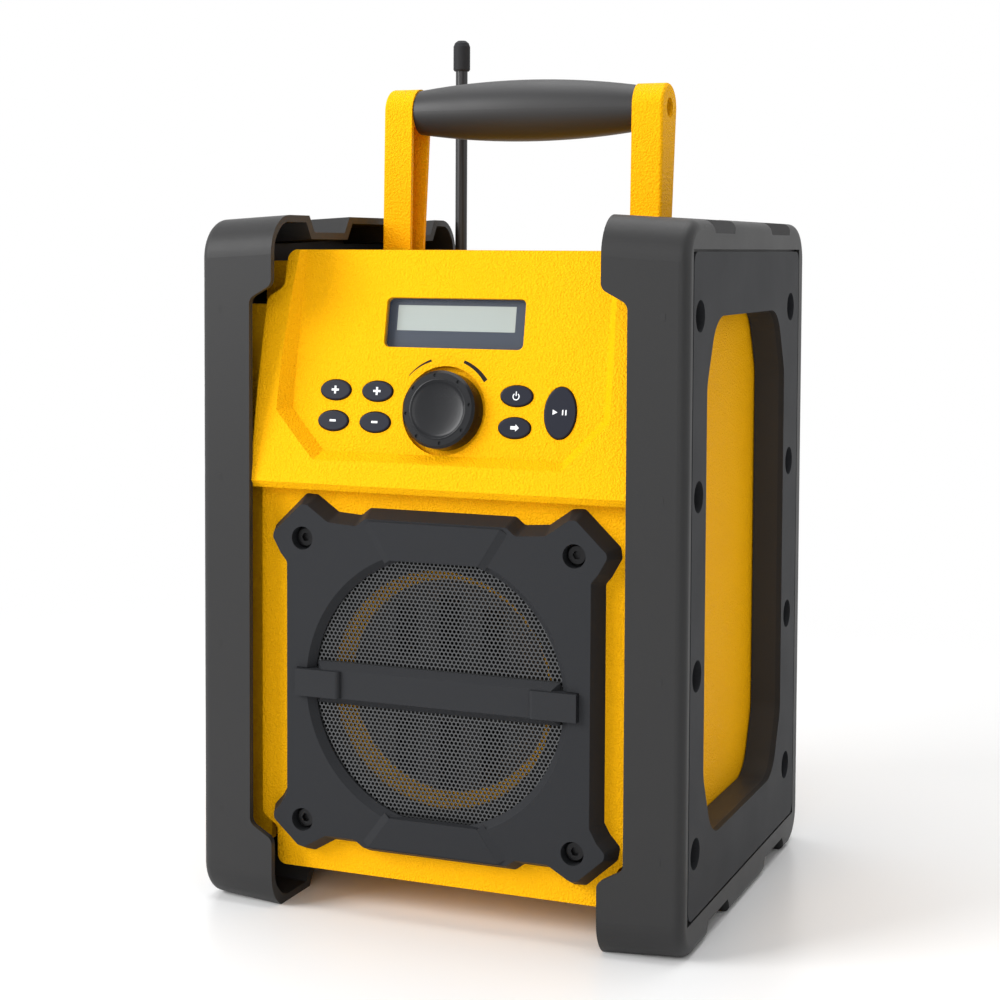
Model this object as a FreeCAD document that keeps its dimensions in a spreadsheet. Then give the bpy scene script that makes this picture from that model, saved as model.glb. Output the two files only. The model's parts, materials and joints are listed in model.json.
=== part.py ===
import FreeCAD, Part
import math
import operator
import os
import Sketcher
from FreeCAD import Placement, Rotation, Vector

os.makedirs("parts", exist_ok=True)
doc = FreeCAD.newDocument("JobsiteRadio")

# Driving dimensions, in millimetres and degrees
# X runs to the right, Y to the back and Z up, with the floor at Z = 0
dimensions = {
    "halfWide": (110, "centre to the outer face of a side frame"),
    "halfDeep": (99, "centre to the front or back of a side frame"),
    "frameTall": (301, "height of a side frame"),
    "frameWide": (35.7, "width of a side frame at its corners"),
    "frameNarrow": (24.7, "width of a side frame between its corners"),
    "frameDraft": (3.5, "draft of the flanges, in degrees"),
    "frameWall": (3, "wall of a side frame"),
    "cornerRound": (17, "corner of a side frame seen from the side"),
    "rimRound": (4.5, "rounded edge round the outer face"),
    "stepHigh": (271, "height where the top corner width ends"),
    "stepLow": (31, "height where the bottom corner width ends"),
    "stepDrop": (6, "height of the slanted step"),
    "stepRound": (4, "rounding of the step"),
    "notchDeep": (7.4, "depth of a notch in the top and bottom flange"),
    "notchSlope": (5, "length of a notch's slanted end"),
    "notchFront": (-63.6, "front end of the front notch"),
    "notchFrontEnd": (-24, "rear end of the front notch"),
    "notchRear": (29.7, "front end of the rear notch"),
    "notchRearEnd": (72, "rear end of the rear notch"),
    "windowFront": (-69, "front edge of the side window"),
    "windowRear": (59.6, "rear edge of the side window"),
    "windowLow": (42.3, "bottom edge of the side window"),
    "windowHigh": (259.4, "top edge of the side window"),
    "windowCutY": (13, "depth of a window corner"),
    "windowCutZ": (28, "height of a window corner"),
    "windowRound": (18, "rounding of a window corner"),
    "windowDeep": (14, "depth of the wall round the window"),
    "plateThick": (2.5, "thickness of the inset side plate"),
    "plateFront": (-89, "front edge of the side plate"),
    "plateRear": (85.8, "rear edge of the side plate"),
    "plateLow": (15.4, "bottom edge of the side plate"),
    "plateHigh": (286, "top edge of the side plate"),
    "plateRound": (5, "corner of the side plate"),
    "plateGap": (1, "groove round the side plate"),
    "sideScrewFront": (-79.8, "front row of side screws"),
    "sideScrewRear": (70.5, "rear row of side screws"),
    "sideScrewLow": (41.8, "lowest side screw"),
    "sideScrewPitch": (72.8, "height between side screws"),
    "cupRadius": (6.5, "radius of a side screw's round hole"),
    "cupDeep": (9, "depth of a side screw's round hole"),
    "cupWall": (1.8, "wall of a side screw's cup"),
    "postRadius": (4.5, "radius of a screw post"),
    "postLong": (4.9, "length of a screw post in a side frame"),
    "headRadius": (4.2, "head radius of the side and cover screws"),
    "headTall": (3.2, "head height of the side and cover screws"),
    "shankRadius": (2, "shank radius of the side and cover screws"),
    "shankLong": (7, "shank length of the side and cover screws"),
    "socketHalf": (1.7, "half width of a screw's hexagon socket"),
    "fitGap": (0.3, "clearance between neighbouring parts"),
    "runGap": (0.05, "clearance of a shaft in its bearing"),
    "frameBoltFront": (-50, "front frame bolts"),
    "frameBoltRear": (45, "rear frame bolts"),
    "frameBoltInset": (9.5, "frame bolts below or above the housing's edge"),
    "sideGap": (0.5, "gap between a side frame's rim and the housing"),
    "housingFront": (-64, "front of the housing's widest part"),
    "housingSplit": (-12, "joint between the front and rear housing"),
    "housingRear": (92, "back of the rear housing"),
    "housingLow": (22, "underside of the housing's widest part"),
    "housingHigh": (281, "top of the housing's widest part"),
    "housingRound": (5, "rounded long edges of the housing"),
    "wall": (3, "wall of the housing"),
    "neckInset": (17, "side of the housing to the side of its top and bottom"),
    "neckLow": (16.5, "underside of the housing"),
    "neckHigh": (286, "top of the housing"),
    "faceInset": (9.5, "side of the housing to the side of its front"),
    "faceLow": (38, "height where the front widens"),
    "faceHigh": (265, "height where the front narrows"),
    "faceStep": (5, "height of the front's slanted step"),
    "faceFront": (-85.5, "front of the lower face"),
    "lipFront": (-96.5, "front of the lip under the panel"),
    "lipLow": (183.5, "underside of the lip"),
    "lipEdge": (3, "height of the lip's rounded lower edge"),
    "borderTop": (-74.5, "front of the panel's border at the top edge"),
    "borderBow": (700, "radius of the border's side profile"),
    "panelY": (-88.4, "front to back place of the panel's foot"),
    "panelZ": (200, "height of the panel's foot"),
    "panelLean": (10.8, "lean of the panel, in degrees"),
    "recessHalf": (71.2, "half width of the sunk panel"),
    "recessFoot": (54.7, "half width of the sunk panel at its foot"),
    "recessKnee": (17.8, "height of the sunk panel's slanted corners"),
    "recessDraft": (38, "draft of the sunk panel's walls, in degrees"),
    "recessReach": (14, "cutting depth of the sunk panel, past its border"),
    "faceRound": (4, "rounded long edges of the housing's front"),
    "coverScrewX": (62, "cover screws from the middle"),
    "coverScrewLow": (40, "height of the lower cover screws"),
    "coverScrewHigh": (162.4, "height of the upper cover screws"),
    "housingScrewInset": (7.7, "housing screws from the side of the housing"),
    "housingScrewLow": (47, "height of the lower housing screws"),
    "housingScrewHigh": (256, "height of the upper housing screws"),
    "housingScrewSeat": (-2, "front to back place under a housing screw's head"),
    "housingShank": (20, "shank length of the housing screws"),
    "tubeRadius": (5.5, "radius of a housing screw's tube"),
    "buttonWide": (14.4, "width of a small button"),
    "buttonTall": (8.8, "height of a small button"),
    "buttonRowHigh": (26.3, "upper row of buttons, up the panel"),
    "buttonRowLow": (13, "lower row of buttons, up the panel"),
    "tuneX": (-51, "tuning buttons"),
    "presetX": (-31.2, "preset buttons"),
    "powerX": (32.6, "power and source buttons"),
    "playX": (52.3, "tall button"),
    "playV": (19.9, "tall button, up the panel"),
    "playWide": (14, "width of the tall button"),
    "playTall": (21.6, "height of the tall button"),
    "buttonProud": (0.9, "buttons above the panel"),
    "buttonFlange": (0.8, "retaining edge round a button, behind the panel"),
    "buttonTravel": (1, "travel of a button"),
    "displayX": (1.7, "display window from the middle"),
    "displayV": (56.3, "display window, up the panel"),
    "displayWide": (64, "width of the display window"),
    "displayTall": (21.5, "height of the display window"),
    "displaySunk": (0.8, "display window below the panel"),
    "moduleWide": (76, "width of the display module"),
    "moduleTall": (30, "height of the display module"),
    "moduleDeep": (7.4, "depth of the display module"),
    "boardAway": (14, "control board behind the panel"),
    "boardThick": (1.6, "thickness of a circuit board"),
    "boardHalf": (68, "half width of the control board"),
    "boardLow": (1, "lower edge of the control board, up the panel"),
    "boardHigh": (75, "upper edge of the control board, up the panel"),
    "boardPostX": (64, "control board posts from the middle"),
    "boardPostLow": (5, "lower control board posts, up the panel"),
    "boardPostHigh": (71, "upper control board posts, up the panel"),
    "boardPost": (3, "radius of a board post"),
    "knobV": (19, "knob, up the panel"),
    "wellRadius": (19, "radius of the knob's well"),
    "wellDeep": (4, "depth of the knob's well"),
    "wellFloor": (3, "floor of the knob's well"),
    "knobRadius": (16.5, "radius of the knob"),
    "knobProud": (6.5, "knob above the panel"),
    "knobDish": (12.6, "radius of the dish in the knob's face"),
    "knobDimple": (0.75, "radius of a dimple in the knob's face"),
    "dimpleRing": (14.4, "dimples from the knob's axis"),
    "dimpleTurn": (9, "turn of the first dimple, in degrees"),
    "encoderShaft": (3, "radius of the encoder's shaft"),
    "encoderBush": (3.6, "radius of the encoder's bush"),
    "speakerZ": (100.5, "height of the speaker's axis"),
    "ringRadius": (52, "front radius of the funnel round the speaker"),
    "ringThroat": (45.5, "throat of the funnel round the speaker"),
    "ringBack": (-77, "rear end of the funnel"),
    "speakerSeat": (-74.5, "front to back place of the speaker's flange"),
    "ringOuter": (55, "outer radius of the funnel's wall"),
    "baffleRadius": (47.2, "radius of the slotted baffle"),
    "speakerScrewRing": (49.3, "speaker screws from the speaker's axis"),
    "coverDeep": (8.5, "depth of the speaker cover"),
    "coverDraft": (23.5, "draft of the speaker cover's edge, in degrees"),
    "mouthRadius": (57, "radius of the speaker cover's mouth"),
    "mouthBevel": (60, "radius of the mouth's bevel at the front"),
    "mouthBevelDeep": (3, "depth of the mouth's bevel"),
    "meshRadius": (59.5, "radius of the speaker mesh"),
    "meshThick": (1, "thickness of the speaker mesh"),
    "meshBack": (-89.2, "rear of the speaker mesh"),
    "coverScrewSeat": (-87.2, "front to back place under a cover screw's head"),
    "screwWell": (5, "radius of a cover screw's recess"),
    "barHalf": (64.2, "half length of the crossbar"),
    "barClip": (43.3, "inner end of the crossbar's clips"),
    "barReach": (55.5, "half length of the crossbar inside the cover's mouth"),
    "barTall": (18, "height of the crossbar at its rear"),
    "barSlope": (3, "height of the crossbar's sloped edges"),
    "barDeep": (3.2, "depth of the crossbar"),
    "barBack": (-91.2, "rear of the crossbar"),
    "clipTall": (11.6, "height of a clip"),
    "clipDeep": (5.4, "depth of a clip"),
    "clipRound": (2, "rounded inner end of a clip"),
    "tabProud": (1, "raised tabs above the speaker cover"),
    "tabFoot": (20, "half width of a tab at the mouth"),
    "tabWide": (30, "half width of a tab at the cover's edge"),
    "tabInner": (55, "tabs from the speaker's axis"),
    "coverCorner": (2.5, "rounded corners of the speaker cover"),
    "armInner": (53.9, "centre to the inner face of a handle arm"),
    "armOuter": (68.3, "centre to the outer face of a handle arm"),
    "armWall": (2.5, "wall of a handle arm"),
    "gripY": (11, "front to back place of the grip's axis"),
    "gripZ": (350.5, "height of the grip's axis"),
    "armHead": (11, "radius of an arm's upper end"),
    "footY": (6, "front to back place of a handle foot"),
    "footZ": (275, "height of a handle foot"),
    "armFoot": (8, "radius of an arm's lower end"),
    "boltBoss": (6.5, "radius of a handle bolt's boss"),
    "boltHead": (4.1, "head radius of the handle bolts"),
    "boltTall": (4, "head height of the handle bolts"),
    "boltShank": (2.5, "shank radius of the handle bolts"),
    "boltLong": (20, "shank length of the handle bolts"),
    "boltSeat": (59, "centre to the seat of a grip bolt's head"),
    "gripEnd": (10.35, "end radius of the grip"),
    "gripBow": (375.8, "radius of the grip's barrel"),
    "coreRadius": (6, "radius of the grip's core"),
    "crossLow": (269, "underside of the handle's crossmember"),
    "crossDeep": (13, "depth of the handle's crossmember"),
    "aerialX": (-65.6, "antenna from the middle"),
    "aerialY": (86, "front to back place of the antenna"),
    "aerialPivot": (278, "height of the antenna's pivot"),
    "aerialRadius": (3, "radius of the antenna rod"),
    "aerialTop": (376.7, "upper end of the antenna rod"),
    "capRadius": (4.25, "radius of the antenna's cap"),
    "capTop": (392.1, "top of the antenna's cap"),
    "troughLeft": (-76, "left end of the antenna's trough"),
    "troughRight": (52, "right end of the antenna's trough"),
    "troughFront": (75.5, "front of the antenna's trough"),
    "troughFloor": (270, "floor of the antenna's trough"),
    "spindleRadius": (4, "radius of the antenna's spindle"),
    "spindleWall": (1.9, "wall round the antenna's spindle"),
    "spindleLow": (258, "lower end of the antenna's spindle"),
    "doorHalf": (60, "half width of the battery door"),
    "doorLow": (44, "bottom of the battery door"),
    "doorHigh": (122, "top of the battery door"),
    "barrel": (2.5, "radius of a door's hinge barrel"),
    "hingePin": (1, "radius of a hinge pin"),
    "rimDeep": (5, "depth of the rim round the battery opening"),
    "rimWide": (6, "width of the rim round the battery opening"),
    "trayHalf": (57, "half width of the battery tray"),
    "trayLow": (50, "bottom of the battery tray"),
    "trayHigh": (116, "top of the battery tray"),
    "trayFront": (57, "front of the battery tray"),
    "trayRear": (87, "rear edge of the battery tray"),
    "trayWall": (2, "wall of the battery tray"),
    "cellRadius": (13.1, "radius of a battery cell"),
    "cellLong": (50, "length of a battery cell"),
    "jackX": (50, "jack cover from the middle"),
    "jackHalf": (22, "half width of the jack cover"),
    "jackLow": (188, "bottom of the jack cover"),
    "jackHigh": (212, "top of the jack cover"),
    "mainBoardY": (73, "front of the main board"),
    "mainBoardLow": (150, "bottom of the main board"),
    "mainBoardHigh": (240, "top of the main board"),
    "mainBoardLeft": (-60, "left edge of the main board"),
    "mainBoardRight": (74, "right edge of the main board"),
    "displayRound": (2.5, "corner of the display window"),
    "plungerRadius": (1.6, "radius of a button's plunger"),
    "plungerLong": (0.9, "length of a button's plunger"),
    "smallHead": (2.6, "head radius of the speaker screws"),
    "smallTall": (2, "head height of the speaker screws"),
    "smallShank": (1.4, "shank radius of the speaker screws"),
    "smallLong": (7, "shank length of the speaker screws"),
    "smallGrip": (3.2, "depth of the speaker's flange and gasket under a screw's head"),
    "rearRound": (4, "rounded rear edge of the housing"),
    "jackRimDeep": (3, "depth of the rim round the jack opening"),
    "postInset": (4, "main board posts from its corners"),
    "pinGrip": (3.5, "hold of a hinge pin at each end"),
    "slotHalf": (5, "half width of a slot in the baffle"),
    "armRound": (1.5, "rounded edge of a handle arm"),
    "socketRadius": (3.2, "radius of a socket"),
    "sealIn": (0.8, "seal groove from the housing's outside"),
    "sealWide": (1.4, "width of the housing seal"),
    "sealDeep": (1.5, "depth of the housing seal"),
}

sheet = doc.addObject("Spreadsheet::Sheet", "Sizes")
for row, (alias, (value, note)) in enumerate(dimensions.items(), start=1):
    sheet.set(f"A{row}", note)
    sheet.set(f"B{row}", str(value))
    sheet.setAlias(f"B{row}", alias)
doc.recompute()


class Formula:
    """A number and the sheet formula that gives it."""

    signs = {"+": operator.add, "-": operator.sub, "*": operator.mul, "/": operator.truediv}

    def __init__(self, value, text=None):
        self.value = float(value)
        self.text = text or f"({self.value})"

    def join(self, sign, other, swapped=False):
        pair = [self, formula(other)]
        if swapped:
            pair.reverse()
        first, second = pair
        return Formula(self.signs[sign](first.value, second.value), f"({first.text} {sign} {second.text})")

    def __add__(self, other):
        return self.join("+", other)

    def __radd__(self, other):
        return self.join("+", other, True)

    def __sub__(self, other):
        return self.join("-", other)

    def __rsub__(self, other):
        return self.join("-", other, True)

    def __mul__(self, other):
        return self.join("*", other)

    def __rmul__(self, other):
        return self.join("*", other, True)

    def __truediv__(self, other):
        return self.join("/", other)

    def __neg__(self):
        return self * -1


def formula(value):
    return value if isinstance(value, Formula) else Formula(value)


def sine(angle):
    return Formula(math.sin(math.radians(angle.value)), f"sin({angle.text})")


def cosine(angle):
    return Formula(math.cos(math.radians(angle.value)), f"cos({angle.text})")


def tangent(angle):
    return Formula(math.tan(math.radians(angle.value)), f"tan({angle.text})")


class Sizes:
    """The sheet's cells as formulas, by alias."""

    def __getattr__(self, alias):
        return Formula(sheet.get(alias), f"Sizes.{alias}")


size = Sizes()


def drive(item, path, value):
    value = formula(value)
    item.setExpression(path, value.text)


nodes = []


def keep(item):
    """Count an object as one of the finished parts."""
    item.Label = item.Name
    nodes.append(item)
    return item


def newBody(name):
    body = doc.addObject("PartDesign::Body", name)
    body.Label = name
    return body


def sketchOn(body, name, role, away=0):
    """A sketch on one of the body's own origin planes, moved away along its normal."""
    sketch = body.newObject("Sketcher::SketchObject", name)
    planes = [item for item in body.Origin.OriginFeatures if item.Role == role]
    sketch.AttachmentSupport = (planes[0], [""])
    sketch.MapMode = "FlatFace"
    drive(sketch, "AttachmentOffset.Base.z", away)
    return sketch


def addLimit(sketch, kind, geometry, point, value):
    value = formula(value)
    if kind == "Radius":
        limit = Sketcher.Constraint(kind, geometry, value.value)
    else:
        limit = Sketcher.Constraint(kind, -1, 1, geometry, point, value.value)
    index = sketch.addConstraint(limit)
    sketch.setExpression(f"Constraints[{index}]", value.text)


def addLoop(sketch, points):
    """A closed outline of straight lines through points that are bound to the sheet."""
    points = [(formula(x), formula(y)) for x, y in points]
    corners = [Vector(x.value, y.value, 0) for x, y in points]
    first = sketch.GeometryCount
    count = len(points)
    for index in range(count):
        sketch.addGeometry(Part.LineSegment(corners[index], corners[(index + 1) % count]), False)
    for index in range(count):
        sketch.addConstraint(
            Sketcher.Constraint("Coincident", first + index, 2, first + (index + 1) % count, 1)
        )
    for index, (x, y) in enumerate(points):
        addLimit(sketch, "DistanceX", first + index, 1, x)
        addLimit(sketch, "DistanceY", first + index, 1, y)


def addBox(sketch, left, low, right, high):
    addLoop(sketch, [(left, low), (right, low), (right, high), (left, high)])


def addCircle(sketch, x, y, radius):
    x, y, radius = formula(x), formula(y), formula(radius)
    index = sketch.addGeometry(Part.Circle(Vector(x.value, y.value, 0), Vector(0, 0, 1), radius.value), False)
    addLimit(sketch, "DistanceX", index, 3, x)
    addLimit(sketch, "DistanceY", index, 3, y)
    addLimit(sketch, "Radius", index, 0, radius)


def pad(body, name, sketch, length, back=False, taper=None):
    feature = body.newObject("PartDesign::Pad", name)
    feature.Profile = sketch
    drive(feature, "Length", length)
    feature.Reversed = back
    if taper is not None:
        drive(feature, "TaperAngle", taper)
    doc.recompute()
    return feature


def pocket(body, name, sketch, length=None, back=False, taper=None):
    """Cut a sketch's outline away, right through both ways where no length is given."""
    before = body.Shape.Volume
    feature = body.newObject("PartDesign::Pocket", name)
    feature.Profile = sketch
    if length is None:
        feature.Type = "ThroughAll"
        feature.SideType = "Symmetric"
    else:
        drive(feature, "Length", length)
        feature.Reversed = back
    if taper is not None:
        drive(feature, "TaperAngle", taper)
    doc.recompute()
    if body.Shape.Volume > before - 0.01:
        raise RuntimeError(f"{body.Label}: {name} cuts nothing")
    return feature


def runsAlong(edge, axis):
    """Whether an edge is straight and runs along an axis, drafted walls included."""
    if len(edge.Vertexes) < 2:
        return False
    span = edge.Vertexes[1].Point - edge.Vertexes[0].Point
    return edge.Length < span.Length + 0.001 and abs(span.normalize().dot(axis)) > 0.98


def dress(kind, body, name, amount, test):
    """Fillet or chamfer the edges of the body's last feature that pass a test."""
    tip = body.Tip
    names = [f"Edge{number}" for number, edge in enumerate(tip.Shape.Edges, start=1) if test(edge)]
    if not names:
        raise RuntimeError(f"{body.Label}: {name} finds no edge")
    feature = body.newObject(f"PartDesign::{kind}", name)
    feature.Base = (tip, names)
    drive(feature, "Radius" if kind == "Fillet" else "Size", amount)
    doc.recompute()
    if "Invalid" in feature.State or feature.Shape.isNull():
        raise RuntimeError(f"{body.Label}: {name} fails")
    return feature


def cornersAlong(axis, places=None, reach=4):
    """A test for edges along an axis, near any of the given points where there are some."""
    def test(edge):
        if not runsAlong(edge, axis):
            return False
        if places is None:
            return True
        middle = edge.CenterOfMass
        flat = middle - axis * middle.dot(axis)
        return any((flat - place).Length < reach for place in places)
    return test


def settle(item, x, y, z, lean=0):
    """Put an object's own origin at a point, turned about X by an angle in degrees."""
    lean = formula(lean)
    item.Placement = Placement(Vector(0, 0, 0), Rotation(alongX, lean.value))
    for axis, value in zip("xyz", (x, y, z)):
        drive(item, f"Placement.Base.{axis}", value)
    return item


def revolve(body, name, sketch, axis, angle=360, back=False):
    feature = body.newObject("PartDesign::Revolution", name)
    feature.Profile = sketch
    feature.ReferenceAxis = (sketch, [axis])
    feature.Angle = angle
    feature.Reversed = back
    doc.recompute()
    return feature


def turned(name, points):
    """A solid of revolution about its own Z, from points of radius and height."""
    body = newBody(name)
    sketch = sketchOn(body, name + "Profile", "XZ_Plane")
    addLoop(sketch, points)
    revolve(body, name + "Turn", sketch, "V_Axis")
    return body


def boxed(name, low, high):
    box = doc.addObject("Part::Box", name)
    for path, start, end in zip(("Length", "Width", "Height"), low, high):
        drive(box, path, formula(end) - start)
    return settle(box, *low)


def rod(name, radius, long, point, turn=None):
    """A cylinder from a point along +Z, or along another axis where one is given."""
    cylinder = doc.addObject("Part::Cylinder", name)
    drive(cylinder, "Radius", radius)
    drive(cylinder, "Height", long)
    settle(cylinder, *point)
    if turn is not None:
        cylinder.Placement.Rotation = Rotation(alongZ, turn)
    return cylinder


def joined(name, items):
    union = doc.addObject("Part::MultiFuse", name)
    union.Shapes = items
    union.Refine = True
    doc.recompute()
    return union


def cutAway(name, base, tools):
    result = doc.addObject("Part::Cut", name)
    result.Base = base
    result.Tool = tools[0] if len(tools) == 1 else joined(name + "Tools", tools)
    result.Refine = True
    doc.recompute()
    return result


def gathered(name, items):
    """Separate solids that share one node."""
    group = doc.addObject("Part::Compound", name)
    group.Links = items
    return group


alongX = Vector(1, 0, 0)
alongY = Vector(0, 1, 0)
alongZ = Vector(0, 0, 1)


# Side frames, modelled on the right and mirrored for the left

innerX = size.halfWide - size.frameWide
narrowX = size.halfWide - size.frameNarrow
rimX = size.halfWide - size.windowDeep
housingHalf = rimX - size.sideGap
neckHalf = housingHalf - size.neckInset
faceHalf = housingHalf - size.faceInset
housingScrewX = housingHalf - size.housingScrewInset
footDrop = size.frameWide * tangent(size.frameDraft)
plateX = size.halfWide - size.plateThick
shellX = plateX - size.frameWall
screwRows = [size.sideScrewFront, size.sideScrewRear]
screwPlaces = [(y, size.sideScrewLow + size.sideScrewPitch * level) for level in range(4) for y in screwRows]
cupOuter = size.cupRadius + size.cupWall
cupSeat = size.halfWide - size.cupDeep
boltPlaces = [
    (y, z)
    for z in (size.housingLow + size.frameBoltInset, size.housingHigh - size.frameBoltInset)
    for y in (size.frameBoltFront, size.frameBoltRear)
]


def notched(inset):
    """Side outline of a frame, inset from its outer surface, round its four notches."""
    front, rear = inset - size.halfDeep, size.halfDeep - inset
    low, high = inset, size.frameTall - inset
    slope = size.notchSlope
    dips = [(size.notchFront, size.notchFrontEnd), (size.notchRear, size.notchRearEnd)]
    cut = (size.cornerRound - size.frameWall) * (2 - math.sqrt(2))
    points = [(front, low + cut), (front + cut, low)]
    for start, end in dips:
        start, end = start - inset, end + inset
        points += [(start, low), (start + slope, low + size.notchDeep)]
        points += [(end - slope, low + size.notchDeep), (end, low)]
    points += [(rear - cut, low), (rear, low + cut), (rear, high - cut), (rear - cut, high)]
    for start, end in reversed(dips):
        start, end = start - inset, end + inset
        points += [(end, high), (end - slope, high - size.notchDeep)]
        points += [(start + slope, high - size.notchDeep), (start, high)]
    return points + [(front + cut, high), (front, high - cut)]


def insideBends():
    """Insets and heights of the bends at the inside's four corners."""
    wall = size.frameWall
    cut = wall + (size.cornerRound - wall) * (2 - math.sqrt(2))
    return [(wall, (cut, size.frameTall - cut)), (cut, (wall, size.frameTall - wall))]


def windowOutline(grow):
    """Side window with slanted corners, grown on every side."""
    front, rear = size.windowFront - grow, size.windowRear + grow
    low, high = size.windowLow - grow, size.windowHigh + grow
    deep, tall = size.windowCutY, size.windowCutZ
    return [
        (front + deep, low), (rear - deep, low), (rear, low + tall), (rear, high - tall),
        (rear - deep, high), (front + deep, high), (front, high - tall), (front, low + tall),
    ]


def windowCorners(grow):
    return [Vector(0, y.value, z.value) for y, z in windowOutline(grow)]


def makeFrame():
    body = newBody("side_frame_right")
    outline = sketchOn(body, "frameOutline", "YZ_Plane", innerX)
    addBox(outline, -size.halfDeep, -footDrop, size.halfDeep, size.frameTall)
    pad(body, "frameBlock", outline, size.frameWide, taper=-size.frameDraft)
    dress("Fillet", body, "frameCorners", size.cornerRound, cornersAlong(alongX))
    rim = size.halfWide.value
    dress("Fillet", body, "frameRim", size.rimRound, lambda edge: edge.BoundBox.XMin > rim - 0.01)

    inside = sketchOn(body, "insideOutline", "YZ_Plane", innerX)
    addLoop(inside, notched(size.frameWall))
    pocket(body, "inside", inside, shellX - innerX, back=True, taper=-size.frameDraft)
    bends = [Vector(0, (side * (size.halfDeep - inset)).value, level.value)
             for side in (-1, 1) for inset, levels in insideBends() for level in levels]
    insideRound = (size.cornerRound - size.frameWall) * 0.8
    dress("Fillet", body, "insideRounds", insideRound, cornersAlong(alongX, bends, 2.5))
    floor = sketchOn(body, "floorOutline", "XZ_Plane")
    addBox(floor, innerX - size.wall, -footDrop - size.wall, size.halfWide + size.wall, 0)
    pocket(body, "feet", floor)

    for low, name in ((0, "lowNotches"), (1, "highNotches")):
        notches = sketchOn(body, name + "Outline", "YZ_Plane")
        for start, end in ((size.notchFront, size.notchFrontEnd), (size.notchRear, size.notchRearEnd)):
            level = size.frameTall * low
            out = level + size.wall * (2 * low - 1)
            deep = level - size.notchDeep * (2 * low - 1)
            slope = size.notchSlope
            addLoop(notches, [(start, out), (start, level), (start + slope, deep),
                              (end - slope, deep), (end, level), (end, out)])
        pocket(body, name, notches)

    steps = sketchOn(body, "stepOutline", "XZ_Plane")
    addLoop(steps, [
        (innerX - size.wall, size.stepLow), (innerX, size.stepLow),
        (narrowX, size.stepLow + size.stepDrop), (narrowX, size.stepHigh - size.stepDrop),
        (innerX, size.stepHigh), (innerX - size.wall, size.stepHigh),
    ])
    pocket(body, "steps", steps)
    stepEnds = (size.stepLow, size.stepLow + size.stepDrop, size.stepHigh - size.stepDrop, size.stepHigh)
    corners = [Vector(x.value, 0, z.value) for x in (innerX, narrowX) for z in stepEnds]
    dress("Fillet", body, "stepRounds", size.stepRound, cornersAlong(alongY, corners, 1))

    recess = sketchOn(body, "recessOutline", "YZ_Plane", plateX)
    addBox(recess, size.plateFront - size.plateGap, size.plateLow - size.plateGap,
           size.plateRear + size.plateGap, size.plateHigh + size.plateGap)
    pocket(body, "plateRecess", recess, size.plateThick + 1, back=True)

    wallRing = sketchOn(body, "windowWallOutline", "YZ_Plane", rimX)
    addLoop(wallRing, windowOutline(size.frameWall))
    pad(body, "windowWall", wallRing, shellX - rimX + size.frameWall / 2)
    bosses = sketchOn(body, "bossOutline", "YZ_Plane", rimX)
    for y, z in boltPlaces:
        addCircle(bosses, y, z, size.postRadius)
    pad(body, "bosses", bosses, shellX - rimX + size.frameWall / 2)
    postTop = cupSeat - size.fitGap
    webs = sketchOn(body, "webOutline", "YZ_Plane", postTop - size.postLong)
    for y, z in screwPlaces:
        outward = -1 if y.value < 0 else 1
        flange = outward * (size.halfDeep - size.frameWall / 2)
        low, high = z - size.frameWall / 2, z + size.frameWall / 2
        addLoop(webs, [(y, low), (flange, low), (flange, high), (y, high)])
    pad(body, "webs", webs, size.postLong)
    posts = sketchOn(body, "postOutline", "YZ_Plane", postTop - size.postLong)
    for y, z in screwPlaces:
        addCircle(posts, y, z, size.postRadius)
    pad(body, "posts", posts, size.postLong)

    window = sketchOn(body, "windowOutline", "YZ_Plane", plateX)
    addLoop(window, windowOutline(0))
    pocket(body, "window", window, size.windowDeep)
    dress("Fillet", body, "windowRounds", size.windowRound, cornersAlong(alongX, windowCorners(0), 1))
    cups = sketchOn(body, "cupHoleOutline", "YZ_Plane", plateX)
    for y, z in screwPlaces:
        addCircle(cups, y, z, cupOuter + size.fitGap)
    pocket(body, "cupHoles", cups, plateX - postTop)
    pilots = sketchOn(body, "pilotOutline", "YZ_Plane", postTop)
    for y, z in screwPlaces:
        addCircle(pilots, y, z, size.shankRadius + size.runGap)
    pocket(body, "pilots", pilots, size.postLong)
    threads = sketchOn(body, "frameBoltHoleOutline", "YZ_Plane", rimX)
    for y, z in boltPlaces:
        addCircle(threads, y, z, size.shankRadius + size.runGap)
    pocket(body, "frameBoltHoles", threads, size.windowDeep / 2, back=True)
    return body


def makePlate():
    """The flush outer plate, with a cup for each side screw."""
    body = newBody("side_plate_right")
    outline = sketchOn(body, "plateOutline", "YZ_Plane", plateX)
    addBox(outline, size.plateFront, size.plateLow, size.plateRear, size.plateHigh)
    pad(body, "plateSheet", outline, size.plateThick)
    dress("Fillet", body, "plateCorners", size.plateRound, cornersAlong(alongX))
    cups = sketchOn(body, "cupOutline", "YZ_Plane", cupSeat)
    for y, z in screwPlaces:
        addCircle(cups, y, z, cupOuter)
    pad(body, "cups", cups, size.cupDeep - size.plateThick)
    window = sketchOn(body, "plateWindowOutline", "YZ_Plane", size.halfWide)
    addLoop(window, windowOutline(0))
    pocket(body, "plateWindow", window, size.plateThick)
    dress("Fillet", body, "plateWindowRounds", size.windowRound, cornersAlong(alongX, windowCorners(0), 1))
    hollows = sketchOn(body, "cupHollowOutline", "YZ_Plane", size.halfWide)
    for y, z in screwPlaces:
        addCircle(hollows, y, z, size.cupRadius)
    pocket(body, "cupHollows", hollows, size.cupDeep - size.cupWall)
    holes = sketchOn(body, "cupBottomOutline", "YZ_Plane", size.halfWide)
    for y, z in screwPlaces:
        addCircle(holes, y, z, size.shankRadius + size.fitGap)
    pocket(body, "cupBottoms", holes, size.cupDeep)
    return body


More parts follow.
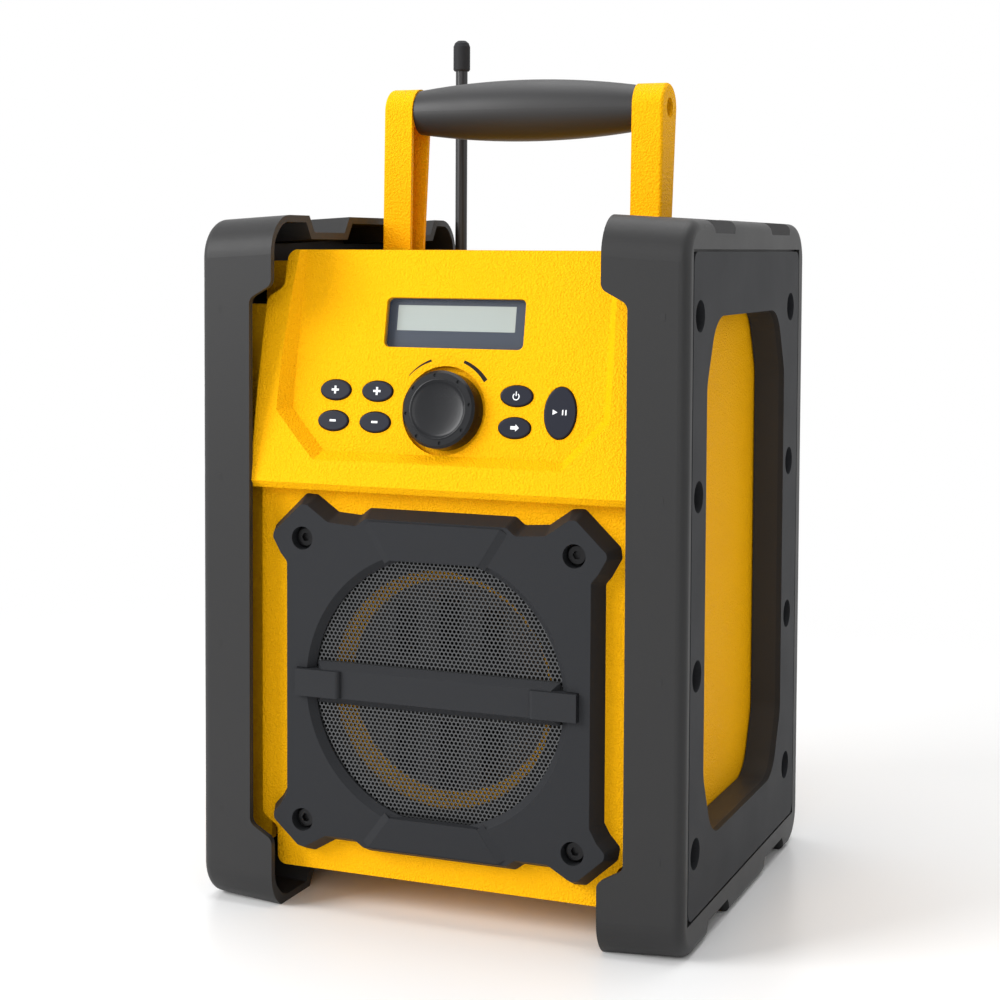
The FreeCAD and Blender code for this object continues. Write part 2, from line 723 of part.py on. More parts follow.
def mirrorLeft(source, name):
    mirror = doc.addObject("Part::Mirroring", name)
    mirror.Source = source
    mirror.Normal = alongX
    mirror.Base = Vector(0, 0, 0)
    return mirror


def screwShape(head, tall, shank, long, socket):
    """A socket screw along +Z: the head stands above zero and the shank hangs below it."""
    top = Part.makeCylinder(head, tall)
    rim = [edge for edge in top.Edges if edge.BoundBox.ZMin > tall - 0.001]
    top = top.makeChamfer(tall * 0.15, rim)
    corner = socket / math.cos(math.radians(30))
    turns = [math.radians(60 * turn) for turn in range(7)]
    points = [Vector(corner * math.cos(turn), corner * math.sin(turn), 0) for turn in turns]
    drive = Part.Face(Part.makePolygon(points)).extrude(Vector(0, 0, tall))
    drive.translate(Vector(0, 0, tall * 0.4))
    screw = top.cut(drive).fuse(Part.makeCylinder(shank, long, Vector(0, 0, -long)))
    return screw.removeSplitter()


def fastenerShape():
    return screwShape(size.headRadius.value, size.headTall.value, size.shankRadius.value,
                      size.shankLong.value, size.socketHalf.value)


def makeGroup(name, shape, places):
    """One node with a copy of a solid at each place, its +Z turned to the given direction."""
    copies = []
    for point, direction in places:
        copy = shape.copy()
        copy.Placement = Placement(point, Rotation(alongZ, direction))
        copies.append(copy)
    group = doc.addObject("Part::Feature", name)
    group.Shape = Part.makeCompound(copies)
    return keep(group)


def sideScrewPlaces():
    seat = (cupSeat + size.cupWall).value
    return [(Vector(side * seat, y.value, z.value), alongX * side)
            for y, z in screwPlaces for side in (1, -1)]


frameRight = keep(makeFrame())
frameLeft = keep(mirrorLeft(frameRight, "side_frame_left"))
plateRight = keep(makePlate())
plateLeft = keep(mirrorLeft(plateRight, "side_plate_left"))


# The yellow housing, front and rear

leanSine = sine(size.panelLean)
leanCosine = cosine(size.panelLean)


def onPanel(u, v, out=0):
    """Place of a point on the leaning panel: u to the right, v up the slope, out of its face."""
    u, v, out = formula(u), formula(v), formula(out)
    y = size.panelY + v * leanSine - out * leanCosine
    z = size.panelZ + v * leanCosine + out * leanSine
    return u, y, z


def panelSketch(body, name, out=0):
    """A sketch whose plane is the leaning panel."""
    sketch = sketchOn(body, name, "XZ_Plane")
    u, y, z = onPanel(0, 0, out)
    sketch.AttachmentOffset = Placement(Vector(0, 0, 0), Rotation(Vector(-1, 0, 0), size.panelLean.value))
    drive(sketch, "AttachmentOffset.Rotation.Angle", size.panelLean)
    drive(sketch, "AttachmentOffset.Base.y", z)
    drive(sketch, "AttachmentOffset.Base.z", -y)
    return sketch


def leanOnPanel(item, u, v, out=0):
    """Stand an object on the panel, with its own +Z along the panel's normal."""
    item.Placement = Placement(Vector(0, 0, 0), Rotation(alongX, 90 - size.panelLean.value))
    for axis, value in zip("xyz", onPanel(u, v, out)):
        drive(item, f"Placement.Base.{axis}", value)
    drive(item, "Placement.Rotation.Angle", 90 - size.panelLean)


def neckOutline(inset, half):
    """Front outline of the housing: narrow at the top and bottom, wider between."""
    low, high = size.neckLow + inset, size.neckHigh - inset
    side, neck = half - inset, neckHalf - inset
    right = [
        (neck, low), (neck, size.faceLow - size.faceStep + inset), (side, size.faceLow + inset),
        (side, size.faceHigh - inset), (neck, size.faceHigh + size.faceStep - inset), (neck, high),
    ]
    return right + [(-x, z) for x, z in reversed(right)]


def bodyOutline(inset):
    """Cross-section of the housing where it is widest."""
    side, neck = housingHalf - inset, neckHalf - inset
    right = [
        (neck, size.neckLow + inset), (neck, size.housingLow + inset), (side, size.housingLow + inset),
        (side, size.housingHigh - inset), (neck, size.housingHigh - inset), (neck, size.neckHigh - inset),
    ]
    return right + [(-x, z) for x, z in reversed(right)]


coverScrews = [(side * size.coverScrewX, z)
               for z in (size.coverScrewLow, size.coverScrewHigh) for side in (-1, 1)]
housingScrews = [(side * housingScrewX, z)
                 for z in (size.housingScrewLow, size.housingScrewHigh) for side in (-1, 1)]
buttons = {
    "tune_up_button": (size.tuneX, size.buttonRowHigh, size.buttonWide, size.buttonTall),
    "tune_down_button": (size.tuneX, size.buttonRowLow, size.buttonWide, size.buttonTall),
    "preset_up_button": (size.presetX, size.buttonRowHigh, size.buttonWide, size.buttonTall),
    "preset_down_button": (size.presetX, size.buttonRowLow, size.buttonWide, size.buttonTall),
    "power_button": (size.powerX, size.buttonRowHigh, size.buttonWide, size.buttonTall),
    "source_button": (size.powerX, size.buttonRowLow, size.buttonWide, size.buttonTall),
    "play_button": (size.playX, size.playV, size.playWide, size.playTall),
}


def addProfile(sketch, points, radius):
    """A closed outline whose last side, from the last point to the first, is an arc that bulges forwards."""
    points = [(formula(x), formula(y)) for x, y in points]
    corners = [Vector(x.value, y.value, 0) for x, y in points]
    last = len(points) - 1
    for index in range(last):
        sketch.addGeometry(Part.LineSegment(corners[index], corners[index + 1]), False)
    chord = corners[0] - corners[last]
    rise = math.sqrt(radius.value ** 2 - (chord.Length / 2) ** 2)
    centre = (corners[0] + corners[last]) * 0.5 + Vector(chord.y, -chord.x, 0).normalize() * rise
    start = math.atan2(corners[0].y - centre.y, corners[0].x - centre.x)
    end = math.atan2(corners[last].y - centre.y, corners[last].x - centre.x) % math.tau
    sketch.addGeometry(Part.ArcOfCircle(Part.Circle(centre, alongZ, radius.value), start, end), False)
    sketch.addConstraint(Sketcher.Constraint("Coincident", last, 1, 0, 1))
    sketch.addConstraint(Sketcher.Constraint("Coincident", last, 2, last - 1, 2))
    for index in range(last - 1):
        sketch.addConstraint(Sketcher.Constraint("Coincident", index, 2, index + 1, 1))
    for index, (x, y) in enumerate(points):
        line, end = (index, 1) if index < last else (index - 1, 2)
        addLimit(sketch, "DistanceX", line, end, x)
        addLimit(sketch, "DistanceY", line, end, y)
    addLimit(sketch, "Radius", last, 0, radius)


def makeFrontShell():
    body = newBody("front_moulding")
    wide = sketchOn(body, "wideOutline", "XZ_Plane", -size.housingSplit)
    addBox(wide, -housingHalf, size.housingLow, housingHalf, size.housingHigh)
    pad(body, "wideBlock", wide, size.housingSplit - size.housingFront)
    dress("Fillet", body, "wideRounds", size.housingRound, cornersAlong(alongY))
    front = sketchOn(body, "frontOutline", "XZ_Plane", -size.housingSplit)
    addLoop(front, neckOutline(0, faceHalf))
    pad(body, "frontBlock", front, size.housingSplit - size.lipFront + size.wall)
    ends = [Vector(x.value, 0, z.value) for x, z in neckOutline(0, faceHalf)]
    dress("Fillet", body, "frontRounds", size.faceRound, cornersAlong(alongY, ends, 1))

    side = sketchOn(body, "sideProfile", "YZ_Plane")
    ahead = size.lipFront - size.wall * 2
    addProfile(side, [
        (size.borderTop, size.neckHigh), (size.borderTop, size.neckHigh + size.wall),
        (ahead, size.neckHigh + size.wall), (ahead, size.neckLow - size.wall),
        (size.faceFront, size.neckLow - size.wall), (size.faceFront, size.lipLow),
        (size.lipFront + size.lipEdge, size.lipLow), (size.lipFront, size.lipLow + size.lipEdge),
    ], size.borderBow)
    pocket(body, "sideCut", side)

    recess = panelSketch(body, "recessOutline")
    top = (size.neckHigh + size.wall - size.panelZ) / leanCosine
    addLoop(recess, [
        (-size.recessFoot, 0), (size.recessFoot, 0), (size.recessHalf, size.recessKnee),
        (size.recessHalf, top), (-size.recessHalf, top), (-size.recessHalf, size.recessKnee),
    ])
    pocket(body, "recess", recess, size.recessReach, back=True, taper=size.recessDraft)

    for name, half, low, high in (
        ("neckHollow", neckHalf - size.wall, size.neckLow + size.wall, size.neckHigh - size.wall),
        ("faceHollow", faceHalf - size.wall, size.faceLow + size.wall, size.faceHigh - size.wall),
    ):
        hollow = sketchOn(body, name + "Profile", "YZ_Plane", -half)
        inner = size.faceFront + size.wall
        knee = size.lipLow + size.wall
        foot, head = (size.panelY + size.wall / leanCosine + (z - size.panelZ) * tangent(size.panelLean)
                      for z in (knee, high))
        addLoop(hollow, [
            (size.housingSplit, low), (inner, low), (inner, knee), (foot, knee),
            (head, high), (size.housingSplit, high),
        ])
        pocket(body, name, hollow, half * 2, back=True)
    wideHollow = sketchOn(body, "wideHollowOutline", "XZ_Plane", -size.housingSplit)
    addBox(wideHollow, size.wall - housingHalf, size.housingLow + size.wall,
           housingHalf - size.wall, size.housingHigh - size.wall)
    pocket(body, "wideHollow", wideHollow, size.housingSplit - size.housingFront - size.wall, back=True)

    well = panelSketch(body, "wellWallOutline", -size.wall / 2)
    addCircle(well, 0, size.knobV, size.wellRadius + size.wall)
    pad(body, "wellWall", well, size.wellDeep + size.wellFloor - size.wall / 2, back=True)
    posts = panelSketch(body, "boardPostOutline", -size.wall / 2)
    for u in (-size.boardPostX, size.boardPostX):
        for v in (size.boardPostLow, size.boardPostHigh):
            addCircle(posts, u, v, size.boardPost)
    pad(body, "boardPosts", posts, size.boardAway - size.wall / 2, back=True)
    funnel = sketchOn(body, "funnelWallOutline", "XZ_Plane", -size.speakerSeat)
    addCircle(funnel, 0, size.speakerZ, size.ringOuter)
    pad(body, "funnelWall", funnel, size.speakerSeat - size.faceFront - size.wall / 2)
    bosses = sketchOn(body, "coverBossOutline", "XZ_Plane", -size.speakerSeat)
    for x, z in coverScrews:
        addCircle(bosses, x, z, size.postRadius)
    pad(body, "coverBosses", bosses, size.speakerSeat - size.faceFront - size.wall / 2)
    posts = sketchOn(body, "housingPostOutline", "XZ_Plane", -size.housingSplit)
    for x, z in housingScrews:
        addCircle(posts, x, z, size.postRadius)
    pad(body, "housingPosts", posts, size.housingSplit - size.housingFront - size.wall / 2)

    wells = panelSketch(body, "wellOutline")
    addCircle(wells, 0, size.knobV, size.wellRadius)
    pocket(body, "well", wells, size.wellDeep)
    bush = panelSketch(body, "bushOutline")
    addCircle(bush, 0, size.knobV, size.encoderBush + size.runGap)
    pocket(body, "bushHole", bush, size.boardAway)
    display = panelSketch(body, "displayOutline")
    reach = size.displayWide / 2
    rise = size.displayTall / 2
    addBox(display, size.displayX - reach, size.displayV - rise, size.displayX + reach, size.displayV + rise)
    pocket(body, "displayOpening", display, size.boardAway)
    corners = [Vector(*(value.value for value in onPanel(u, v)))
               for u in (size.displayX - reach, size.displayX + reach)
               for v in (size.displayV - rise, size.displayV + rise)]
    normal = Vector(0, -leanCosine.value, leanSine.value)
    corners = [corner - normal * corner.dot(normal) for corner in corners]
    dress("Fillet", body, "displayRounds", size.displayRound, cornersAlong(normal, corners, 1))

    mouth = sketchOn(body, "funnelOutline", "XZ_Plane", -size.faceFront)
    addCircle(mouth, 0, size.speakerZ, size.ringRadius)
    slope = math.degrees(math.atan2((size.ringRadius - size.ringThroat).value,
                                    (size.ringBack - size.faceFront).value))
    pocket(body, "funnel", mouth, size.ringBack - size.faceFront, taper=-slope)
    throat = sketchOn(body, "throatOutline", "XZ_Plane", -size.faceFront)
    addCircle(throat, 0, size.speakerZ, size.ringThroat)
    pocket(body, "throat", throat, size.speakerSeat - size.faceFront)
    seat = sketchOn(body, "baffleSeatOutline", "XZ_Plane", -size.speakerSeat)
    addCircle(seat, 0, size.speakerZ, size.baffleRadius + size.fitGap)
    pocket(body, "baffleSeat", seat, size.speakerSeat - size.ringBack, back=True)
    pilots = sketchOn(body, "coverPilotOutline", "XZ_Plane", -size.faceFront)
    for x, z in coverScrews:
        addCircle(pilots, x, z, size.shankRadius + size.runGap)
    pocket(body, "coverPilots", pilots, size.speakerSeat - size.faceFront)
    pilots = sketchOn(body, "housingPilotOutline", "XZ_Plane", -size.housingSplit)
    for x, z in housingScrews:
        addCircle(pilots, x, z, size.shankRadius + size.runGap)
    pocket(body, "housingPilots", pilots, size.housingShank, back=True)
    pilots = sketchOn(body, "speakerPilotOutline", "XZ_Plane", -size.speakerSeat)
    for x, z in speakerScrews:
        addCircle(pilots, x, z, size.smallShank + size.runGap)
    pocket(body, "speakerPilots", pilots, size.smallLong - size.smallGrip, back=True)
    frameBoltHoles(body, size.frameBoltFront)
    return body


def frameBoltHoles(body, y):
    holes = sketchOn(body, "frameBoltOutline", "YZ_Plane")
    for place, z in boltPlaces:
        if place.text == y.text:
            addCircle(holes, y, z, size.shankRadius + size.fitGap)
    pocket(body, "frameBolts", holes)


def buttonForm(name, place, out, long, grow=0):
    """An oval block on the panel: a button, its opening or its retaining edge."""
    u, v, wide, tall = place
    outline = doc.addObject("Part::Ellipse", name + "Outline")
    flat = wide.value > tall.value
    major, minor = (wide, tall) if flat else (tall, wide)
    drive(outline, "MajorRadius", major / 2 + grow)
    drive(outline, "MinorRadius", minor / 2 + grow)
    if not flat:
        outline.Placement.Rotation = Rotation(alongZ, 90)
    block = doc.addObject("Part::Extrusion", name)
    block.Base = outline
    block.DirMode = "Custom"
    block.Dir = alongZ
    block.Solid = True
    drive(block, "LengthFwd", long)
    leanOnPanel(block, u, v, out)
    return block


def makeButton(name, place):
    """A button: its cap, the edge that keeps it in, and its plunger."""
    u, v, wide, tall = place
    cap = buttonForm(name + "Cap", place, -size.wall - size.fitGap - size.buttonFlange,
                     size.wall + size.fitGap + size.buttonFlange + size.buttonProud)
    doc.recompute()
    high = size.buttonProud.value
    rim = [number for number, edge in enumerate(cap.Shape.Edges, start=1)
           if abs(heightOnPanel(edge.CenterOfMass) - high) < 0.01]
    round = doc.addObject("Part::Fillet", name + "Round")
    round.Base = cap
    round.Edges = [(number, high * 0.7, high * 0.7) for number in rim]
    edge = buttonForm(name + "Edge", place, -size.wall - size.fitGap - size.buttonFlange, size.buttonFlange,
                      size.buttonFlange)
    plunger = rod(name + "Plunger", size.plungerRadius, size.plungerLong, (0, 0, 0))
    leanOnPanel(plunger, u, v, -size.wall - size.fitGap - size.buttonFlange - size.plungerLong)
    return keep(joined(name, [round, edge, plunger]))


def heightOnPanel(point):
    normal = Vector(0, -leanCosine.value, leanSine.value)
    return (point - Vector(0, size.panelY.value, size.panelZ.value)).dot(normal)


def makeRearShell():
    body = newBody("rear_moulding")
    wide = sketchOn(body, "wideOutline", "XZ_Plane", -size.housingRear)
    addBox(wide, -housingHalf, size.housingLow, housingHalf, size.housingHigh)
    pad(body, "wideBlock", wide, size.housingRear - size.housingSplit)
    dress("Fillet", body, "wideRounds", size.housingRound, cornersAlong(alongY))
    neck = sketchOn(body, "neckOutline", "XZ_Plane", -size.housingRear)
    addBox(neck, -neckHalf, size.neckLow, neckHalf, size.neckHigh)
    pad(body, "neckBlock", neck, size.housingRear - size.housingSplit)
    rear = size.housingRear.value
    dress("Fillet", body, "rearRounds", size.rearRound, lambda edge: edge.BoundBox.YMin > rear - 0.01)
    for name, half, low, high in (
        ("wideHollow", housingHalf, size.housingLow, size.housingHigh),
        ("neckHollow", neckHalf, size.neckLow, size.neckHigh),
    ):
        hollow = sketchOn(body, name + "Outline", "XZ_Plane", -size.housingSplit)
        addBox(hollow, size.wall - half, low + size.wall, half - size.wall, high - size.wall)
        pocket(body, name, hollow, size.housingRear - size.wall - size.housingSplit)

    inner = size.housingRear - size.wall
    tubes = sketchOn(body, "tubeOutline", "XZ_Plane", -inner - size.wall / 2)
    for x, z in housingScrews:
        addCircle(tubes, x, z, size.tubeRadius)
    pad(body, "tubes", tubes, inner + size.wall / 2 - size.housingSplit)
    rim = sketchOn(body, "batteryRimOutline", "XZ_Plane", -inner - size.wall / 2)
    wide = size.rimWide
    addBox(rim, -size.doorHalf - wide, size.doorLow - wide, size.doorHalf + wide, size.doorHigh + wide)
    pad(body, "batteryRim", rim, size.rimDeep + size.wall / 2)
    rim = sketchOn(body, "jackRimOutline", "XZ_Plane", -inner - size.wall / 2)
    addBox(rim, size.jackX - size.jackHalf - wide, size.jackLow - wide,
           size.jackX + size.jackHalf + wide, size.jackHigh + wide)
    pad(body, "jackRim", rim, size.jackRimDeep + size.wall / 2)
    posts = sketchOn(body, "boardPostOutline", "XZ_Plane", -inner - size.wall / 2)
    for x in (size.mainBoardLeft + size.postInset, size.mainBoardRight - size.postInset):
        for z in (size.mainBoardLow + size.postInset, size.mainBoardHigh - size.postInset):
            addCircle(posts, x, z, size.boardPost)
    pad(body, "boardPosts", posts, inner + size.wall / 2 - size.mainBoardY - size.boardThick)
    trough = sketchOn(body, "troughBlockOutline", "XZ_Plane", -inner - size.wall / 2)
    addBox(trough, -neckHalf + size.wall / 2, size.troughFloor - size.wall,
           size.troughRight + size.wall, size.neckHigh - size.wall / 2)
    pad(body, "troughBlock", trough, inner + size.wall / 2 - size.troughFront + size.wall)
    boss = sketchOn(body, "spindleBossOutline", "XY_Plane", size.spindleLow)
    addCircle(boss, size.aerialX, size.aerialY, size.spindleRadius + size.spindleWall)
    pad(body, "spindleBoss", boss, size.troughFloor - size.wall / 2 - size.spindleLow)

    screws = sketchOn(body, "screwBoreOutline", "XZ_Plane", -size.housingRear)
    for x, z in housingScrews:
        addCircle(screws, x, z, size.headRadius + size.fitGap)
    pocket(body, "screwBores", screws, size.housingRear - size.housingScrewSeat, back=True)
    screws = sketchOn(body, "screwHoleOutline", "XZ_Plane", -size.housingRear)
    for x, z in housingScrews:
        addCircle(screws, x, z, size.shankRadius + size.fitGap)
    pocket(body, "screwHoles", screws, size.housingRear - size.housingSplit, back=True)
    door = sketchOn(body, "doorOpeningOutline", "XZ_Plane", -size.housingRear)
    gap = size.fitGap
    addBox(door, -size.doorHalf - gap, size.doorLow - gap, size.doorHalf + gap, size.doorHigh + gap)
    addBox(door, size.jackX - size.jackHalf - gap, size.jackLow - gap,
           size.jackX + size.jackHalf + gap, size.jackHigh + gap)
    pocket(body, "doorOpenings", door, size.wall + size.rimDeep, back=True)
    pins = sketchOn(body, "hingeBoreOutline", "YZ_Plane", -size.doorHalf - size.pinGrip - gap)
    addCircle(pins, hingeY, size.doorLow + size.barrel, size.hingePin + size.runGap)
    pocket(body, "hingeBore", pins, (size.doorHalf + size.pinGrip + gap) * 2, back=True)
    pins = sketchOn(body, "jackBoreOutline", "YZ_Plane", size.jackX - size.jackHalf - size.pinGrip - gap)
    addCircle(pins, hingeY, size.jackLow + size.barrel, size.hingePin + size.runGap)
    pocket(body, "jackBore", pins, (size.jackHalf + size.pinGrip + gap) * 2, back=True)
    trough = sketchOn(body, "troughOutline", "XZ_Plane", -size.housingRear)
    addBox(trough, size.troughLeft, size.troughFloor, size.troughRight, size.neckHigh + size.wall)
    pocket(body, "trough", trough, size.housingRear - size.troughFront, back=True)
    spindle = sketchOn(body, "spindleOutline", "XY_Plane", size.troughFloor)
    addCircle(spindle, size.aerialX, size.aerialY, size.spindleRadius + size.runGap)
    pocket(body, "spindleBore", spindle, size.troughFloor - size.spindleLow)
    slots = sketchOn(body, "armSlotOutline", "XY_Plane", size.neckHigh)
    for side in (-1, 1):
        middle = side * (size.armInner + size.armOuter) / 2
        half = (size.armOuter - size.armInner) / 2 + gap
        addBox(slots, middle - half, size.footY - size.armFoot - gap * 3, middle + half,
               size.footY + size.armHead + gap * 2)
    pocket(body, "armSlots", slots, size.wall)
    seal = sketchOn(body, "sealOutline", "XZ_Plane", -size.housingSplit)
    addLoop(seal, bodyOutline(size.sealIn))
    addLoop(seal, bodyOutline(size.sealIn + size.sealWide))
    pocket(body, "sealGroove", seal, size.sealDeep)
    frameBoltHoles(body, size.frameBoltRear)
    return body


hingeY = size.housingRear - size.barrel
speakerScrews = [
    (side * size.speakerScrewRing * sine(formula(45)),
     size.speakerZ + level * size.speakerScrewRing * sine(formula(45)))
    for level in (-1, 1) for side in (-1, 1)
]
frontShell = makeFrontShell()
openings = [buttonForm(name + "Opening", place, -size.wall * 2, size.wall * 3, size.fitGap)
            for name, place in buttons.items()]
frontHousing = keep(cutAway("front_housing", frontShell, openings))
for name, place in buttons.items():
    makeButton(name, place)
rearHousing = keep(makeRearShell())
rearHousing.Label = "rear_housing"
sealBody = newBody("housing_seal")
sealSketch = sketchOn(sealBody, "sealOutline", "XZ_Plane", -size.housingSplit)
addLoop(sealSketch, bodyOutline(size.sealIn + size.runGap))
addLoop(sealSketch, bodyOutline(size.sealIn + size.sealWide - size.runGap))
pad(sealBody, "seal", sealSketch, size.sealDeep, back=True)
keep(sealBody)


# Speaker cover, crossbar and the speaker behind them

def coverOutline():
    """Right and left halves of the speaker cover's edge, from its top middle."""
    right = [
        (33.5, 176), (37.5, 172.7), (48.5, 173.5), (58.5, 180.5), (64, 180.8), (79.3, 166), (80, 161.5),
        (75.5, 153.5), (73, 150.5), (73, 52), (75.5, 47.5), (80, 42.5), (79, 37), (65.5, 25), (60, 24.6),
        (50, 30.4), (38, 30.4), (34, 27.5),
    ]
    middle = size.speakerZ
    right = [(formula(x), middle + (z - 100.5)) for x, z in right]
    return right + [(-x, z) for x, z in reversed(right)]


def makeCover():
    body = newBody("speaker_cover")
    outline = sketchOn(body, "coverOutline", "XZ_Plane", -size.faceFront)
    addLoop(outline, coverOutline())
    pad(body, "coverBlock", outline, size.coverDeep, taper=-size.coverDraft)
    dress("Fillet", body, "coverCorners", size.coverCorner,
          lambda edge: edge.BoundBox.YLength > size.coverDeep.value - 0.1)
    front = size.faceFront - size.coverDeep
    bevel = sketchOn(body, "bevelOutline", "XZ_Plane", -front)
    addCircle(bevel, 0, size.speakerZ, size.mouthBevel)
    slope = math.degrees(math.atan2((size.mouthBevel - size.mouthRadius).value, size.mouthBevelDeep.value))
    pocket(body, "bevel", bevel, size.mouthBevelDeep, taper=-slope)
    mouth = sketchOn(body, "mouthOutline", "XZ_Plane", -front)
    addCircle(mouth, 0, size.speakerZ, size.mouthRadius)
    pocket(body, "mouth", mouth, size.coverDeep)
    tabs = sketchOn(body, "tabOutline", "XZ_Plane", size.meshThick - size.meshBack)
    foot, wide, inner = size.tabFoot, size.tabWide, size.tabInner
    for rise, outer in ((1, 71), (-1, 68.5)):
        low, high = size.speakerZ + inner * rise, size.speakerZ + formula(outer) * rise
        addLoop(tabs, [(-foot, low), (foot, low), (wide, high), (-wide, high)])
    pad(body, "tabs", tabs, size.meshBack - size.meshThick - front + size.tabProud)
    rebate = sketchOn(body, "meshSeatOutline", "XZ_Plane", -size.faceFront)
    addCircle(rebate, 0, size.speakerZ, size.meshRadius + size.fitGap)
    pocket(body, "meshSeat", rebate, size.faceFront - size.meshBack + size.meshThick, back=True)
    notches = sketchOn(body, "barNotchOutline", "XZ_Plane", -front)
    gap = size.fitGap
    rise = size.clipTall / 2 + gap
    for start, end in ((-size.barHalf - gap, -size.barClip), (size.barClip, size.barHalf + gap)):
        addBox(notches, start, size.speakerZ - rise, end, size.speakerZ + rise)
    pocket(body, "barNotches", notches, size.barBack - front)
    wells = sketchOn(body, "screwWellOutline", "XZ_Plane", -front)
    for x, z in coverScrews:
        addCircle(wells, x, z, size.screwWell)
    pocket(body, "screwWells", wells, size.coverScrewSeat - front)
    holes = sketchOn(body, "screwHoleOutline", "XZ_Plane", -front)
    for x, z in coverScrews:
        addCircle(holes, x, z, size.shankRadius + gap)
    pocket(body, "screwHoles", holes, size.coverDeep)
    return keep(body)


def makeCrossbar():
    body = newBody("crossbar")
    middle = sketchOn(body, "barOutline", "XZ_Plane", -size.barBack)
    rise = size.barTall / 2
    addBox(middle, -size.barReach, size.speakerZ - rise, size.barReach, size.speakerZ + rise)
    slope = math.degrees(math.atan2(size.barSlope.value, size.barDeep.value))
    pad(body, "bar", middle, size.barDeep, taper=-slope)
    clips = sketchOn(body, "clipOutline", "XZ_Plane", -size.barBack)
    rise = size.clipTall / 2
    for start, end in ((-size.barHalf, -size.barClip), (size.barClip, size.barHalf)):
        addBox(clips, start, size.speakerZ - rise, end, size.speakerZ + rise)
    pad(body, "clips", clips, size.clipDeep)
    front = (size.barBack - size.clipDeep).value
    inner = size.barClip.value
    dress("Fillet", body, "clipEnds", size.clipRound, lambda edge: runsAlong(edge, alongZ)
          and edge.BoundBox.YMin < front + 0.01 and abs(edge.CenterOfMass.x) < inner + 0.01)
    return keep(body)


def facingBack(item, behind=0):
    """Turn a part of the speaker so that its own +Z runs to the back from the flange."""
    return settle(item, 0, size.speakerSeat + behind, size.speakerZ, -90)


makeCover()
makeCrossbar()
mesh = rod("speaker_mesh", size.meshRadius, size.meshThick, (0, 0, 0))
settle(mesh, 0, size.meshBack - size.meshThick, size.speakerZ, -90)
keep(mesh)
baffleDeep = size.speakerSeat - size.ringBack
disc = rod("baffleDisc", size.baffleRadius, baffleDeep, (0, 0, 0))
settle(disc, 0, size.ringBack, size.speakerZ, -90)
slots = []
for index, x in enumerate((-20, 0, 20)):
    for low, high in ((-45 + abs(x) / 4, -15.5), (11.5, 39.5 - abs(x) / 4)):
        slots.append(boxed(f"slot{index}{'High' if low > 0 else 'Low'}",
                           (x - size.slotHalf, size.ringBack - 1, size.speakerZ + low),
                           (x + size.slotHalf, size.speakerSeat + 1, size.speakerZ + high)))
keep(cutAway("speaker_baffle", disc, slots))

flange = size.smallGrip
edge = size.ringRadius


def screwHoles(name, behind):
    return [rod(f"{name}Hole{index}", size.smallShank + size.fitGap, flange * 2,
                (x, size.speakerSeat + behind - 1, z), alongY)
            for index, (x, z) in enumerate(speakerScrews)]


gasketForm = facingBack(turned("gasketForm", [(edge - 5, 0), (edge, 0), (edge, 1), (edge - 5, 1)]))
keep(cutAway("speaker_gasket", gasketForm, screwHoles("gasket", 0)))
basketForm = facingBack(turned("basketForm", [
    (edge - 8, 1), (edge, 1), (edge, flange), (edge - 5.7, flange), (28, 32), (28, 37),
    (14, 37), (14, 35), (26, 35), (26, 31.5), (edge - 8, flange),
]))
keep(cutAway("speaker_basket", basketForm, screwHoles("basket", 0)))
keep(facingBack(turned("speaker_magnet", [
    (0, 37), (11, 37), (11, 43), (14, 43), (14, 37), (30, 37), (30, 55), (0, 55)])))
keep(facingBack(turned("speaker_surround", [
    (38.8, 3.5), (40.7, 1.8), (edge - 9.4, 3.5), (edge - 9.4, 4.4), (40.7, 2.9), (38.8, 4.4)])))
keep(facingBack(turned("speaker_cone", [
    (0, 21.5), (12.5, 25.5), (38.5, 5), (38.5, 6.4), (13, 28), (12.8, 40), (12, 40), (12, 27), (0, 22.8)])))
smallScrew = screwShape(size.smallHead.value, size.smallTall.value, size.smallShank.value,
                        size.smallLong.value, 1)
makeGroup("speaker_screws", smallScrew, [
    (Vector(x.value, (size.speakerSeat + flange).value, z.value), alongY) for x, z in speakerScrews])


# Display, control board and knob behind the leaning panel

def blockOnPanel(name, u, v, out, wide, tall, deep):
    """A block centred at a place on the panel, from its outer side inwards."""
    block = doc.addObject("Part::Box", name)
    for path, value in (("Length", wide), ("Width", tall), ("Height", deep)):
        drive(block, path, value)
    leanOnPanel(block, u - formula(wide) / 2, v - formula(tall) / 2, out - formula(deep))
    return block


behind = size.wall + size.fitGap
pane = blockOnPanel("displayPane", size.displayX, size.displayV, -size.displaySunk,
                    size.displayWide - size.fitGap * 2, size.displayTall - size.fitGap * 2,
                    behind - size.displaySunk + 1)
paneEdge = blockOnPanel("displayEdge", size.displayX, size.displayV, -behind + size.fitGap / 2,
                        size.displayWide + 4, size.displayTall + 3, size.fitGap / 2 + 1)
keep(joined("lcd_window", [pane, paneEdge]))
keep(blockOnPanel("lcd_module", size.displayX, size.displayV, -behind - 1, size.moduleWide, size.moduleTall,
                  size.moduleDeep))
board = blockOnPanel("boardForm", 0, (size.boardLow + size.boardHigh) / 2, -size.boardAway,
                     size.boardHalf * 2, size.boardHigh - size.boardLow, size.boardThick)
keep(board)
board.Label = "control_board"

switches = []
reachIn = behind + size.buttonFlange + size.plungerLong + size.buttonTravel + size.fitGap
for name, (u, v, wide, tall) in buttons.items():
    base = blockOnPanel(name + "SwitchBase", u, v, -reachIn - 1.6, 7, 6.6, size.boardAway - reachIn - 1.6)
    tip = rod(name + "SwitchTip", size.plungerRadius, 1.6, (0, 0, 0))
    leanOnPanel(tip, u, v, -reachIn - 1.6)
    switches.append(joined(name + "Switch", [base, tip]))
keep(gathered("button_switches", switches))

